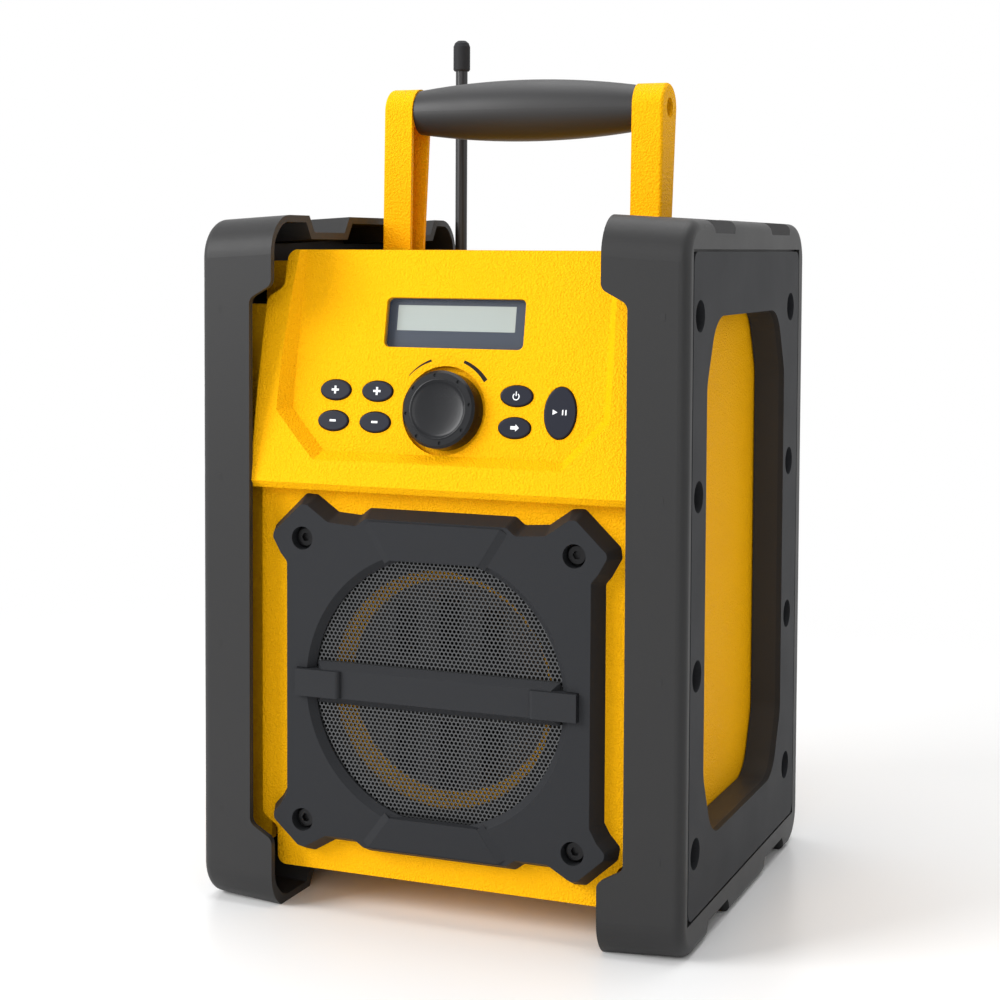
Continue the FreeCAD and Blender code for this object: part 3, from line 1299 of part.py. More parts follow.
encoderForm = turned("encoderForm", [
    (0, 2), (size.encoderShaft, 2), (size.encoderShaft, -size.wellDeep), (size.encoderBush, -size.wellDeep),
    (size.encoderBush, -size.wellDeep - size.wellFloor), (6, -size.wellDeep - size.wellFloor),
    (6, -size.boardAway), (0, -size.boardAway)])
leanOnPanel(encoderForm, 0, size.knobV)
keep(encoderForm)
encoderForm.Label = "volume_encoder"
knobLow = size.runGap * 6 - size.wellDeep
dish = size.knobDish
knob = turned("volume_knob", [
    (0, size.knobProud - 1), (0, 2.3), (size.encoderShaft + size.runGap, 2.3),
    (size.encoderShaft + size.runGap, knobLow), (size.knobRadius, knobLow),
    (size.knobRadius, size.knobProud - 1.1),
    (size.knobRadius - 1.1, size.knobProud), (dish, size.knobProud), (dish - 1, size.knobProud - 1)])
dimples = sketchOn(knob, "dimpleOutline", "XY_Plane", size.knobProud)
for turn in range(8):
    angle = size.dimpleTurn + turn * 45
    addCircle(dimples, size.dimpleRing * cosine(angle), size.dimpleRing * sine(angle), size.knobDimple)
pocket(knob, "dimples", dimples, 0.6)
leanOnPanel(knob, 0, size.knobV)
keep(knob)


# Carrying handle

def armOutline(inset):
    """Straight part of an arm's side outline, between its round ends."""
    return [
        (size.gripY - size.armHead + inset, size.gripZ), (size.footY - size.armFoot + inset, size.footZ),
        (size.footY + size.armFoot - inset, size.footZ), (size.gripY + size.armHead - inset, size.gripZ),
    ]


def makeArm():
    body = newBody("handle_arm_right")
    wide = size.armOuter - size.armInner
    wall = size.armWall
    ends = [("head", size.gripY, size.gripZ, size.armHead), ("foot", size.footY, size.footZ, size.armFoot)]
    for name, y, z, radius in ends:
        sketch = sketchOn(body, name + "Outline", "YZ_Plane", size.armInner)
        addCircle(sketch, y, z, radius)
        if name == "head":
            pad(body, name + "Disc", sketch, wide)
        else:
            footSketch = sketch
    flank = sketchOn(body, "flankOutline", "YZ_Plane", size.armInner)
    addLoop(flank, armOutline(0))
    pad(body, "flank", flank, wide)
    pad(body, "footDisc", footSketch, wide)
    dress("Fillet", body, "armRounds", size.armRound,
          lambda edge: edge.BoundBox.XMin > size.armOuter.value - 0.01)
    hollow = sketchOn(body, "armHollowOutline", "YZ_Plane", size.armInner)
    addLoop(hollow, armOutline(wall))
    pocket(body, "armHollow", hollow, wide - wall, back=True)
    for name, y, z, radius in ends:
        hollow = sketchOn(body, name + "HollowOutline", "YZ_Plane", size.armInner)
        addCircle(hollow, y, z, radius - wall)
        pocket(body, name + "Hollow", hollow, wide - wall, back=True)
    bosses = sketchOn(body, "armBossOutline", "YZ_Plane", size.armInner)
    for name, y, z, radius in ends:
        addCircle(bosses, y, z, size.boltBoss)
    pad(body, "armBosses", bosses, wide - wall / 2)
    bore = sketchOn(body, "gripBoltOutline", "YZ_Plane", size.armOuter)
    addCircle(bore, size.gripY, size.gripZ, size.boltHead + size.fitGap)
    pocket(body, "gripBoltWell", bore, size.armOuter - size.boltSeat)
    bores = sketchOn(body, "boltHoleOutline", "YZ_Plane", size.armOuter)
    for name, y, z, radius in ends:
        addCircle(bores, y, z, size.boltShank + size.fitGap)
    pocket(body, "boltHoles", bores, wide)
    return keep(body)


def makeGrip(name, back):
    """Half of the hand grip: a barrel round the core, split level with its axis."""
    body = newBody(name)
    profile = sketchOn(body, name + "Profile", "XY_Plane")
    half = size.armInner - size.fitGap
    bore = size.coreRadius + size.runGap
    ends = [(half, size.gripEnd), (half, bore), (-half, bore), (-half, size.gripEnd)]
    addProfile(profile, ends, size.gripBow)
    revolve(body, name + "Turn", profile, "H_Axis", 180, back)
    settle(body, 0, size.gripY, size.gripZ)
    return keep(body)


armRight = makeArm()
armLeft = keep(mirrorLeft(armRight, "handle_arm_left"))
makeGrip("grip_upper", False)
makeGrip("grip_lower", True)
half = size.armInner - size.fitGap
coreForm = rod("coreForm", size.coreRadius, half * 2, (-half, size.gripY, size.gripZ), alongX)
bores = [rod(f"coreBore{side}", size.boltShank + size.runGap, size.boltLong + 2,
             (side * half - (size.boltLong + 2 if side > 0 else 0), size.gripY, size.gripZ), alongX)
         for side in (-1, 1)]
keep(cutAway("grip_core", coreForm, bores))
crossForm = boxed("crossForm", (-half, size.footY - size.crossDeep / 2, size.crossLow),
                  (half, size.footY + size.crossDeep / 2, size.neckHigh - size.wall))
bores = [rod(f"crossBore{side}", size.boltShank + size.runGap, size.boltLong + 2,
             (side * half - (size.boltLong + 2 if side > 0 else 0), size.footY, size.footZ), alongX)
         for side in (-1, 1)]
keep(cutAway("handle_crossmember", crossForm, bores))
handleBolt = screwShape(size.boltHead.value, size.boltTall.value,
                        size.boltShank.value, size.boltLong.value, 2.5)
places = []
for side in (-1, 1):
    for seat, y, z in ((size.boltSeat, size.gripY, size.gripZ), (size.armOuter, size.footY, size.footZ)):
        places.append((Vector(side * seat.value, y.value, z.value), alongX * side))
makeGroup("handle_bolts", handleBolt, places)


# Antenna

def makeAntenna():
    x, y, pivot = size.aerialX, size.aerialY, size.aerialPivot
    floor = size.troughFloor + size.fitGap
    spindle = rod("swivelSpindle", size.spindleRadius, floor - size.spindleLow, (x, y, size.spindleLow))
    base = rod("swivelBase", size.spindleRadius + 2, 2.2, (x, y, floor))
    cheek = size.aerialRadius + size.fitGap
    cheeks = [boxed(f"swivelCheek{side}", (x - 3.5, y + side * (cheek + 1) - 1, floor + 1),
                    (x + 3.5, y + side * (cheek + 1) + 1, pivot + 3.5)) for side in (-1, 1)]
    bore = rod("swivelBore", size.hingePin + size.runGap, cheek * 2 + 6, (x, y - cheek - 3, pivot), alongY)
    keep(cutAway("antenna_swivel", joined("swivelForm", [spindle, base] + cheeks), [bore]))
    keep(rod("antenna_pin", size.hingePin, cheek * 2 + 4, (x, y - cheek - 2, pivot), alongY))
    reach = size.aerialTop - pivot
    rodForm = turned("rodForm", [(0, -3.4), (2.2, -3.4), (3, -2.4), (3, reach), (0, reach)])
    settle(rodForm, x, y, pivot)
    bore = rod("rodBore", size.hingePin + size.runGap, 10, (x, y - 5, pivot), alongY)
    keep(cutAway("antenna_rod", rodForm, [bore]))
    tall = size.capTop - size.aerialTop
    radius = size.capRadius
    cap = turned("antenna_cap", [(0, 0), (radius - 0.6, 0), (radius, 0.8), (radius, tall - 3),
                                 (radius - 0.7, tall - 1.2), (radius - 2.2, tall), (0, tall)])
    settle(cap, x, y, size.aerialTop)
    keep(cap)


# Battery bay, jack panel and main board

def makeDoor(name, left, right, low, high):
    """A flap that hinges on a barrel along its bottom edge."""
    thick = size.wall
    rear = size.housingRear
    bottom = low + size.barrel
    leaf = boxed(name + "Leaf", (left, rear - thick, bottom), (right, rear, high))
    barrel = rod(name + "Barrel", size.barrel, right - left, (left, hingeY, bottom), alongX)
    bore = rod(name + "Bore", size.hingePin + size.runGap, right - left + 2,
               (left - 1, hingeY, bottom), alongX)
    return keep(cutAway(name, joined(name + "Form", [leaf, barrel]), [bore]))


makeAntenna()
makeDoor("battery_door", -size.doorHalf, size.doorHalf, size.doorLow, size.doorHigh)
grip = size.pinGrip - size.fitGap
keep(rod("battery_door_pin", size.hingePin, (size.doorHalf + grip) * 2,
         (-size.doorHalf - grip, hingeY, size.doorLow + size.barrel), alongX))
makeDoor("jack_cover", size.jackX - size.jackHalf, size.jackX + size.jackHalf, size.jackLow, size.jackHigh)
keep(rod("jack_cover_pin", size.hingePin, (size.jackHalf + grip) * 2,
         (size.jackX - size.jackHalf - grip, hingeY, size.jackLow + size.barrel), alongX))

wall = size.trayWall
trayForm = boxed("trayForm", (-size.trayHalf, size.trayFront, size.trayLow),
                 (size.trayHalf, size.trayRear, size.trayHigh))
rimFace = size.housingRear - size.wall - size.rimDeep
ledge = size.rimWide
trayFlange = boxed("trayFlange", (-size.doorHalf - ledge, rimFace - wall, size.doorLow - ledge),
                   (size.doorHalf + ledge, rimFace, size.doorHigh + ledge))
trayInside = boxed("trayInside", (wall - size.trayHalf, size.trayFront + wall, size.trayLow + wall),
                   (size.trayHalf - wall, size.trayRear + 1, size.trayHigh - wall))
keep(cutAway("battery_tray", joined("trayShell", [trayForm, trayFlange]), [trayInside]))
sealForm = boxed("sealForm", (-size.trayHalf, size.trayRear, size.trayLow),
                 (size.trayHalf, size.housingRear - size.wall - size.runGap, size.trayHigh))
sealInside = boxed("sealInside", (wall - size.trayHalf, size.trayRear - 1, size.trayLow + wall),
                   (size.trayHalf - wall, size.housingRear, size.trayHigh - wall))
keep(cutAway("battery_door_seal", sealForm, [sealInside]))
cells, contacts = [], []
radius = size.cellRadius
cellY = size.trayFront + wall + radius + size.runGap
cellRows = (size.trayLow + wall + radius + size.runGap, size.trayHigh - wall - radius - size.runGap)
for row, z in enumerate(cellRows):
    for column, x in enumerate((-size.cellLong - 1, formula(1))):
        body = rod(f"cellCase{row}{column}", radius, size.cellLong - 2, (x, cellY, z), alongX)
        tip = rod(f"cellTip{row}{column}", 3, 2, (x + size.cellLong - 2, cellY, z), alongX)
        cells.append(joined(f"cell{row}{column}", [body, tip]))
    for side in (-1, 1):
        inner, outer = size.cellLong + 1.5, size.trayHalf - wall
        start, end = (inner, outer) if side > 0 else (-outer, -inner)
        plate = boxed(f"contactPlate{row}{side}", (outer - 0.8 if side > 0 else -outer, cellY - 5, z - 5),
                      (outer if side > 0 else 0.8 - outer, cellY + 5, z + 5))
        spring = rod(f"contactSpring{row}{side}", 3.5, outer - inner, (start, cellY, z), alongX)
        contacts.append(joined(f"contact{row}{side}", [plate, spring]))
keep(gathered("battery_cells", cells))
keep(gathered("battery_contacts", contacts))
keep(boxed("main_board", (size.mainBoardLeft, size.mainBoardY, size.mainBoardLow),
           (size.mainBoardRight, size.mainBoardY + size.boardThick, size.mainBoardHigh)))
jackFace = size.housingRear - size.wall - 2
jackForm = boxed("jackForm",
                 (size.jackX - size.jackHalf + 2, size.mainBoardY + size.boardThick, size.jackLow + 6),
                 (size.jackX + size.jackHalf - 2, jackFace, size.jackHigh - 1))
socketZ = (size.jackLow + size.jackHigh) / 2 + 2.5
sockets = [rod(f"socket{index}", size.socketRadius, 11, (size.jackX + offset, jackFace - 10, socketZ), alongY)
           for index, offset in enumerate((-12, 0, 12))]
keep(cutAway("jack_block", jackForm, sockets))


# Screws of the case: one length for the plates, the cover and the frames, a longer one for the housing

casePlaces = sideScrewPlaces()
casePlaces += [(Vector(x.value, size.coverScrewSeat.value, z.value), -alongY) for x, z in coverScrews]
boltFace = (housingHalf - size.wall).value
casePlaces += [(Vector(side * boltFace, y.value, z.value), alongX * -side)
               for y, z in boltPlaces for side in (-1, 1)]
makeGroup("case_screws", fastenerShape(), casePlaces)
longScrew = screwShape(size.headRadius.value, size.headTall.value, size.shankRadius.value,
                       size.housingShank.value, size.socketHalf.value)
makeGroup("housing_screws", longScrew, [
    (Vector(x.value, size.housingScrewSeat.value, z.value), alongY) for x, z in housingScrews])


doc.recompute()
for item in doc.Objects:
    if "Invalid" in item.State or "Error" in item.State:
        raise RuntimeError(f"{item.Name}: {item.State}")
for item in nodes:
    if item.Shape.isNull() or not item.Shape.isValid():
        raise RuntimeError(f"{item.Label} has no valid shape")
    item.Shape.exportStep(os.path.join("parts", f"{item.Label}.step"))
print(len(nodes), "parts written")
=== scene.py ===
import json
import math

import bmesh
import bpy
from mathutils import Matrix, Vector


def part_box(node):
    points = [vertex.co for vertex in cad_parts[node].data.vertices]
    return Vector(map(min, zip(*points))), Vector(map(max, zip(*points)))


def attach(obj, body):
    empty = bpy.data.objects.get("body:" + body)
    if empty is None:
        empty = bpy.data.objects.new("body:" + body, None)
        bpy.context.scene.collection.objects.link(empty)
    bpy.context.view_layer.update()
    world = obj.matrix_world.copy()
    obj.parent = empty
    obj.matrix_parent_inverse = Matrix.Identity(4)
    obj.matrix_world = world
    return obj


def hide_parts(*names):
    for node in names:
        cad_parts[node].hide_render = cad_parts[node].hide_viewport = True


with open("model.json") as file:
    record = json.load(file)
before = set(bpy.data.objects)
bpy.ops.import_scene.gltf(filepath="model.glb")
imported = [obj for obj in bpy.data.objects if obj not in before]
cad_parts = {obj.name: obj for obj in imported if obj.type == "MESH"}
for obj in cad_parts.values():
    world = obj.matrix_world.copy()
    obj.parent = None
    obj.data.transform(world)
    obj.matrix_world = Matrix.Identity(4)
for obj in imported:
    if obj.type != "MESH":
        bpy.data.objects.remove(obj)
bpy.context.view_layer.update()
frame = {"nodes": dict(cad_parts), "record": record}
nodes = frame["nodes"]
mm = 0.001


# A shader value that can be written in plain sums
class Signal:
    def __init__(self, shader, socket):
        self.shader = shader
        self.socket = socket

    def join(self, operation, other, swapped=False):
        pair = [other, self] if swapped else [self, other]
        return self.shader.add("ShaderNodeMath", {"operation": operation}, dict(enumerate(pair)))

    def __add__(self, other):
        return self.join("ADD", other)

    def __radd__(self, other):
        return self.join("ADD", other, True)

    def __sub__(self, other):
        return self.join("SUBTRACT", other)

    def __rsub__(self, other):
        return self.join("SUBTRACT", other, True)

    def __mul__(self, other):
        return self.join("MULTIPLY", other)

    def __rmul__(self, other):
        return self.join("MULTIPLY", other, True)

    def __gt__(self, other):
        return self.join("GREATER_THAN", other)

    def __lt__(self, other):
        return self.join("LESS_THAN", other)


class Shader:
    def __init__(self, name):
        self.material = bpy.data.materials.new(name)
        self.material.use_nodes = True
        self.tree = self.material.node_tree
        self.surface = self.tree.nodes["Principled BSDF"]

    def add(self, kind, settings=None, values=None, output=0):
        node = self.tree.nodes.new(kind)
        for key, value in (settings or {}).items():
            if key == "stops":
                self.setStops(node.color_ramp, value)
            else:
                setattr(node, key, value)
        for key, value in (values or {}).items():
            self.feed(node.inputs[key], value)
        return Signal(self, node.outputs[output])

    def setStops(self, ramp, stops):
        while len(ramp.elements) < len(stops):
            ramp.elements.new(0.5)
        for element, (place, shade) in zip(ramp.elements, stops):
            element.position = place
            element.color = (shade, shade, shade, 1) if isinstance(shade, (int, float)) else (*shade, 1)

    def feed(self, socket, value):
        if isinstance(value, Signal):
            self.tree.links.new(value.socket, socket)
        else:
            socket.default_value = value

    def set(self, **values):
        for key, value in values.items():
            words = {"baseColor": "Base Color", "coatWeight": "Coat Weight",
                     "coatRoughness": "Coat Roughness", "specular": "Specular IOR Level"}
            self.feed(self.surface.inputs[words.get(key, key.capitalize())], value)

    def place(self):
        return self.add("ShaderNodeTexCoord", output="Object")

    def noise(self, perMetre, detail=2.0, roughness=0.5):
        return self.add("ShaderNodeTexNoise", None, {
            "Vector": self.place(), "Scale": perMetre, "Detail": detail, "Roughness": roughness})

    def cells(self, perMetre):
        return self.add("ShaderNodeTexVoronoi", {"feature": "SMOOTH_F1"}, {
            "Vector": self.place(), "Scale": perMetre, "Smoothness": 0.4})

    def bump(self, height, deep, strength=1.0):
        self.set(Normal=self.add("ShaderNodeBump", None, {
            "Height": height, "Distance": deep, "Strength": strength}))

    def blend(self, amount, low, high):
        return self.add("ShaderNodeMix", {"data_type": "RGBA"}, {
            "Factor": amount, "A": (*low, 1), "B": (*high, 1)}, "Result")


finishes = {
    "yellow": (0.95, 0.462, 0.002),
    "yellowDeep": (0.92, 0.432, 0.002),
    "frameBlack": (0.0235, 0.0235, 0.0240),
    "plateBlack": (0.0235, 0.0245, 0.0270),
    "navyBlack": (0.005, 0.0065, 0.015),
    "knobBlack": (0.005, 0.0055, 0.007),
    "rubberBlack": (0.013, 0.013, 0.014),
    "grainCells": 1050,  # leather grain, cells per metre
    "fineGrain": 2600,
    "grainDeep": 0.0009,
    "foamBlack": (0.008, 0.008, 0.008),
    "displayPale": (0.50, 0.56, 0.53),
    "displaySlate": (0.030, 0.042, 0.068),
}


def yellowPlastic():
    shader = Shader("yellowPlastic")
    grain = shader.cells(finishes["grainCells"]) * 0.7 + shader.noise(finishes["fineGrain"]) * 0.5
    shader.bump(grain, finishes["grainDeep"], 0.8)
    patches = shader.noise(22, 3)
    shader.set(baseColor=shader.blend(patches, finishes["yellowDeep"], finishes["yellow"]),
               roughness=0.44 + 0.10 * grain, specular=0.05)
    return shader.material


def grainedBlack(name, colour, roughness, specular, deep=0.00006, scale=1.5):
    shader = Shader(name)
    grain = (shader.noise(finishes["fineGrain"] * scale, 2) * 0.6
             + shader.cells(finishes["grainCells"] * scale) * 0.4)
    shader.bump(grain, deep, 0.5)
    worn = shader.noise(35, 3)
    shader.set(baseColor=(*colour, 1), roughness=roughness + 0.12 * (worn - 0.5) + 0.08 * grain,
               specular=specular)
    return shader.material


def plain(name, colour, roughness, metallic=0.0, specular=0.4):
    shader = Shader(name)
    smudge = shader.noise(60, 3)
    shader.set(baseColor=(*colour, 1), roughness=roughness + 0.10 * (smudge - 0.5), metallic=metallic,
               specular=specular)
    return shader.material


materials = {
    "yellow_housing": yellowPlastic(),
    "black_frame": grainedBlack("frameBlack", finishes["frameBlack"], 0.42, 0.20),
    "black_plate": grainedBlack("plateBlack", finishes["plateBlack"], 0.50, 0.08),
    "button_black": plain("buttonBlack", finishes["navyBlack"], 0.36, specular=0.18),
    "knob_black": plain("knobBlack", finishes["knobBlack"], 0.27, specular=0.22),
    "rubber": grainedBlack("rubberBlack", finishes["rubberBlack"], 0.44, 0.4, 0.00004),
    "black_steel": plain("screwBlack", (0.02, 0.02, 0.021), 0.32, 0.9),
    "black_metal": grainedBlack("paintedMetal", finishes["plateBlack"], 0.46, 0.10),
    "display_glass": None,
    "bright_steel": plain("brightSteel", (0.55, 0.55, 0.56), 0.28, 1.0),
    "antenna_metal": plain("antennaBlack", (0.016, 0.016, 0.017), 0.34, 0.3),
    "electronics": plain("circuitBoard", (0.02, 0.11, 0.05), 0.5),
    "cell_case": plain("cellCase", (0.12, 0.13, 0.15), 0.3),
    "dark_plastic": plain("darkPlastic", (0.012, 0.012, 0.013), 0.55),
}


def displayGlass():
    shader = Shader("displayGlass")
    shader.set(baseColor=(0.02, 0.03, 0.045, 1), roughness=0.06, alpha=0.2,
               coatWeight=0.6, coatRoughness=0.03)
    return shader.material


materials["display_glass"] = displayGlass()
slotOf = {entry["node"]: entry["material_slot"] for entry in frame["record"]["subparts"]}


def dressNodes():
    for name, node in nodes.items():
        node.data.materials.clear()
        node.data.materials.append(materials[slotOf[name]])


dressNodes()
print("finishes on", len(nodes), "nodes")


def newPiece(name, mesh, material, body):
    mesh.materials.clear()
    mesh.materials.append(material)
    piece = bpy.data.objects.new(name, mesh)
    bpy.context.scene.collection.objects.link(piece)
    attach(piece, body)
    return piece


def meshOf(name, build):
    shape = bmesh.new()
    build(shape)
    bmesh.ops.recalc_face_normals(shape, faces=shape.faces)
    mesh = bpy.data.meshes.new(name)
    shape.to_mesh(mesh)
    shape.free()
    return mesh


# The leaning panel: u to the right, v up its slope, out of its face
panel = {"y": -88.4, "z": 200, "lean": 10.8}


def onPanel(u, v, out):
    lean = math.radians(panel["lean"])
    return Vector((
        u,
        panel["y"] + v * math.sin(lean) - out * math.cos(lean),
        panel["z"] + v * math.cos(lean) + out * math.sin(lean),
    )) * mm


def slabOnPanel(shape, outline, low, high):
    rings = [[shape.verts.new(onPanel(u, v, out)) for u, v in outline] for out in (low, high)]
    shape.faces.new(rings[0][::-1])
    shape.faces.new(rings[1])
    for index in range(len(outline)):
        after = (index + 1) % len(outline)
        shape.faces.new([rings[0][index], rings[0][after], rings[1][after], rings[1][index]])


def barOutline(u, v, wide, tall):
    return [(u - wide / 2, v - tall / 2), (u + wide / 2, v - tall / 2),
            (u + wide / 2, v + tall / 2), (u - wide / 2, v + tall / 2)]


def arcOutline(u, v, radius, start, end, wideStart, wideEnd, steps=28):
    outer, inner = [], []
    for step in range(steps + 1):
        part = step / steps
        angle = math.radians(start + (end - start) * part)
        half = (wideStart + (wideEnd - wideStart) * part) / 2
        outer.append((u + (radius + half) * math.cos(angle), v + (radius + half) * math.sin(angle)))
        inner.append((u + (radius - half) * math.cos(angle), v + (radius - half) * math.sin(angle)))
    return outer + inner[::-1]


marks = {"low": 0.86, "high": 0.96, "apart": 0.003, "length": 3.4, "stroke": 0.9}
printWhite = plain("markWhite", (0.78, 0.80, 0.82), 0.5)
printDark = plain("markDark", (0.012, 0.010, 0.008), 0.6, specular=0.1)


def makeMarks():
    long, stroke = marks["length"], marks["stroke"]
    signs = {
        "tune_up": [barOutline(-51, 26.3, long, stroke), barOutline(-51, 26.3, stroke, long)],
        "tune_down": [barOutline(-51, 13, long * 0.85, stroke)],
        "preset_up": [barOutline(-31.2, 26.3, long, stroke), barOutline(-31.2, 26.3, stroke, long)],
        "preset_down": [barOutline(-31.2, 13, long * 0.85, stroke)],
        "power": [arcOutline(32.6, 26.0, 1.35, 125, 415, 0.42, 0.42), barOutline(32.6, 27.2, 0.42, 1.9)],
        "source": [[(31.1, 12.3), (33.3, 12.3), (33.3, 11.5), (34.9, 13),
                    (33.3, 14.5), (33.3, 13.7), (31.1, 13.7)]],
        "play": [[(49.2, 19.0), (51.3, 20.1), (49.2, 21.2)], barOutline(53.6, 20.1, 0.55, 2.2),
                 barOutline(55.0, 20.1, 0.55, 2.2)],
    }
    for name, outlines in signs.items():
        mesh = meshOf(name + "Mark", lambda shape: [
            slabOnPanel(shape, outline, marks["low"], marks["high"] + marks["apart"] * index)
            for index, outline in enumerate(outlines)])
        newPiece(name + "_mark", mesh, printWhite, name + "_key")


makeMarks()
volumeArcs = {
    "v": 19, "radius": 22.4,
    "left": (140, 109, 0.25, 1.0),
    "right": (70, 36, 1.3, 1.9),
}


def makeArcs():
    for side in ("left", "right"):
        outline = arcOutline(0, volumeArcs["v"], volumeArcs["radius"], *volumeArcs[side])
        mesh = meshOf(side + "Arc", lambda shape: slabOnPanel(shape, outline, -0.05, 0.04))
        newPiece("volume_arc_" + side, mesh, printDark, "case")


makeArcs()
print("marks and arcs")

display = {
    "face": (0.6, 58.9, 54.5, 10.9, -4.24),  # pale segment area: u, v, width, height, place behind the panel
    "border": (1.7, 56.3, 66.0, 23.5, -4.27),
    "thick": 0.02,
}


def makeDisplay():
    shades = {"face": plain("displayPale", finishes["displayPale"], 0.4),
              "border": plain("displaySlate", finishes["displaySlate"], 0.4)}
    for name, shade in shades.items():
        u, v, wide, tall, out = display[name]
        mesh = meshOf("display" + name, lambda shape: slabOnPanel(
            shape, barOutline(u, v, wide, tall), out - display["thick"], out))
        newPiece("display_" + name, mesh, shade, "case")


makeDisplay()
print("display")


# Perforated speaker mesh, made by geometry nodes
grille = {
    "radius": 58.3, "rim": 59.4, "pitch": 1.88, "hole": 1.56, "thick": 0.8, "lap": 0.9, "corners": 6,
    "tileWeld": 0.05, "sheetWeld": 0.01,  # how near points merge
}


def addInput(tree, name, value):
    socket = tree.interface.new_socket(name, in_out="INPUT", socket_type="NodeSocketFloat")
    socket.default_value = value
    return socket


def grilleTree(material):
    tree = bpy.data.node_groups.new("perforatedDisc", "GeometryNodeTree")
    for name in ("Radius", "Pitch", "Hole", "Thickness"):
        addInput(tree, name, 0.001)
    tree.interface.new_socket("Geometry", in_out="OUTPUT", socket_type="NodeSocketGeometry")
    source = tree.nodes.new("NodeGroupInput")
    sink = tree.nodes.new("NodeGroupOutput")

    def add(kind, settings=None, values=None, output=0):
        node = tree.nodes.new(kind)
        for key, value in (settings or {}).items():
            setattr(node, key, value)
        for key, value in (values or {}).items():
            if hasattr(value, "is_output"):
                tree.links.new(value, node.inputs[key])
            else:
                node.inputs[key].default_value = value
        return node.outputs[output]

    def work(operation, first, second=0.0):
        return add("ShaderNodeMath", {"operation": operation}, {0: first, 1: second})

    radius, pitch, hole, thick = (source.outputs[index] for index in range(4))
    rowStep = work("MULTIPLY", pitch, math.sqrt(3) / 2)
    columns = work("ADD", work("MULTIPLY", work("CEIL", work("DIVIDE", radius, pitch)), 2.0), 3.0)
    rows = work("ADD", work("MULTIPLY", work("CEIL", work("DIVIDE", radius, rowStep)), 2.0), 1.0)
    wide = work("MULTIPLY", work("SUBTRACT", columns, 1.0), pitch)
    tall = work("MULTIPLY", work("SUBTRACT", rows, 1.0), rowStep)
    grid = add("GeometryNodeMeshGrid", None, {"Size X": wide, "Size Y": tall, "Vertices X": columns,
                                              "Vertices Y": rows})
    index = add("GeometryNodeInputIndex")
    odd = work("MODULO", work("MODULO", index, rows), 2.0)
    offset = add("ShaderNodeCombineXYZ", None, {"X": work("MULTIPLY", work("MULTIPLY", odd, pitch), 0.5)})
    moved = add("GeometryNodeSetPosition", None, {"Geometry": grid, "Offset": offset})
    length = add("ShaderNodeVectorMath", {"operation": "LENGTH"},
                 {0: add("GeometryNodeInputPosition")}, "Value")
    outside = add("FunctionNodeCompare", {"operation": "GREATER_THAN"}, {0: length, 1: radius})
    points = add("GeometryNodeDeleteGeometry", {"domain": "POINT"}, {"Geometry": moved, "Selection": outside})

    turned = math.radians(30)
    outer = add("GeometryNodeCurvePrimitiveCircle", None, {
        "Resolution": grille["corners"], "Radius": work("DIVIDE", pitch, math.sqrt(3))})
    inner = add("GeometryNodeCurvePrimitiveCircle", None, {
        "Resolution": grille["corners"], "Radius": work("MULTIPLY", hole, 0.5)})
    rims = tree.nodes.new("GeometryNodeJoinGeometry")
    tree.links.new(outer, rims.inputs[0])
    tree.links.new(inner, rims.inputs[0])
    tile = add("GeometryNodeFillCurve", {"mode": "TRIANGLES"}, {"Curve": rims.outputs[0]})
    tile = add("GeometryNodeTransform", None, {"Geometry": tile, "Rotation": (0, 0, turned)})
    copies = add("GeometryNodeInstanceOnPoints", None, {"Points": points, "Instance": tile})
    sheet = add("GeometryNodeRealizeInstances", None, {"Geometry": copies})
    sheet = add("GeometryNodeMergeByDistance", None, {"Geometry": sheet, "Distance": grille["tileWeld"] * mm})
    upper = add("GeometryNodeExtrudeMesh", None, {"Mesh": sheet, "Offset Scale": thick, "Individual": False})
    lower = add("GeometryNodeFlipFaces", None, {"Mesh": sheet})
    whole = tree.nodes.new("GeometryNodeJoinGeometry")
    tree.links.new(upper, whole.inputs[0])
    tree.links.new(lower, whole.inputs[0])
    whole = add("GeometryNodeMergeByDistance", None, {
        "Geometry": whole.outputs[0], "Distance": grille["sheetWeld"] * mm})
    whole = add("GeometryNodeRealizeInstances", None, {"Geometry": whole})
    whole = add("GeometryNodeSetMaterial", None, {"Geometry": whole, "Material": material})
    tree.links.new(whole, sink.inputs[0])
    return tree


def makeGrille():
    material = plain("grilleBlack", (0.085, 0.087, 0.090), 0.32, 0.75)
    tree = grilleTree(material)
    maker = bpy.data.objects.new("grilleMaker", bpy.data.meshes.new("grilleMaker"))
    bpy.context.scene.collection.objects.link(maker)
    modifier = maker.modifiers.new("perforations", "NODES")
    modifier.node_group = tree
    sizes = {"Radius": grille["radius"], "Pitch": grille["pitch"], "Hole": grille["hole"],
             "Thickness": grille["thick"]}
    for item in tree.interface.items_tree:
        if item.in_out == "INPUT":
            modifier[item.identifier] = sizes[item.name] * mm
    graph = bpy.context.evaluated_depsgraph_get()
    mesh = bpy.data.meshes.new_from_object(maker.evaluated_get(graph))
    maker.modifiers.remove(modifier)
    bpy.data.objects.remove(maker)
    low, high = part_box("speaker_mesh")
    middle = (low + high) / 2
    turn = Matrix.Translation((middle.x, high.y, middle.z)) @ Matrix.Rotation(math.radians(90), 4, "X")
    mesh.transform(turn)
    piece = newPiece("speaker_grille", mesh, material, "case")
    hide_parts("speaker_mesh")
    rim = newPiece("grille_rim", meshOf("grilleRim", lambda shape: ringY(
        shape, middle, low.y, high.y, (grille["radius"] - grille["lap"]) * mm, grille["rim"] * mm)), material, "case")
    return len(mesh.polygons), rim


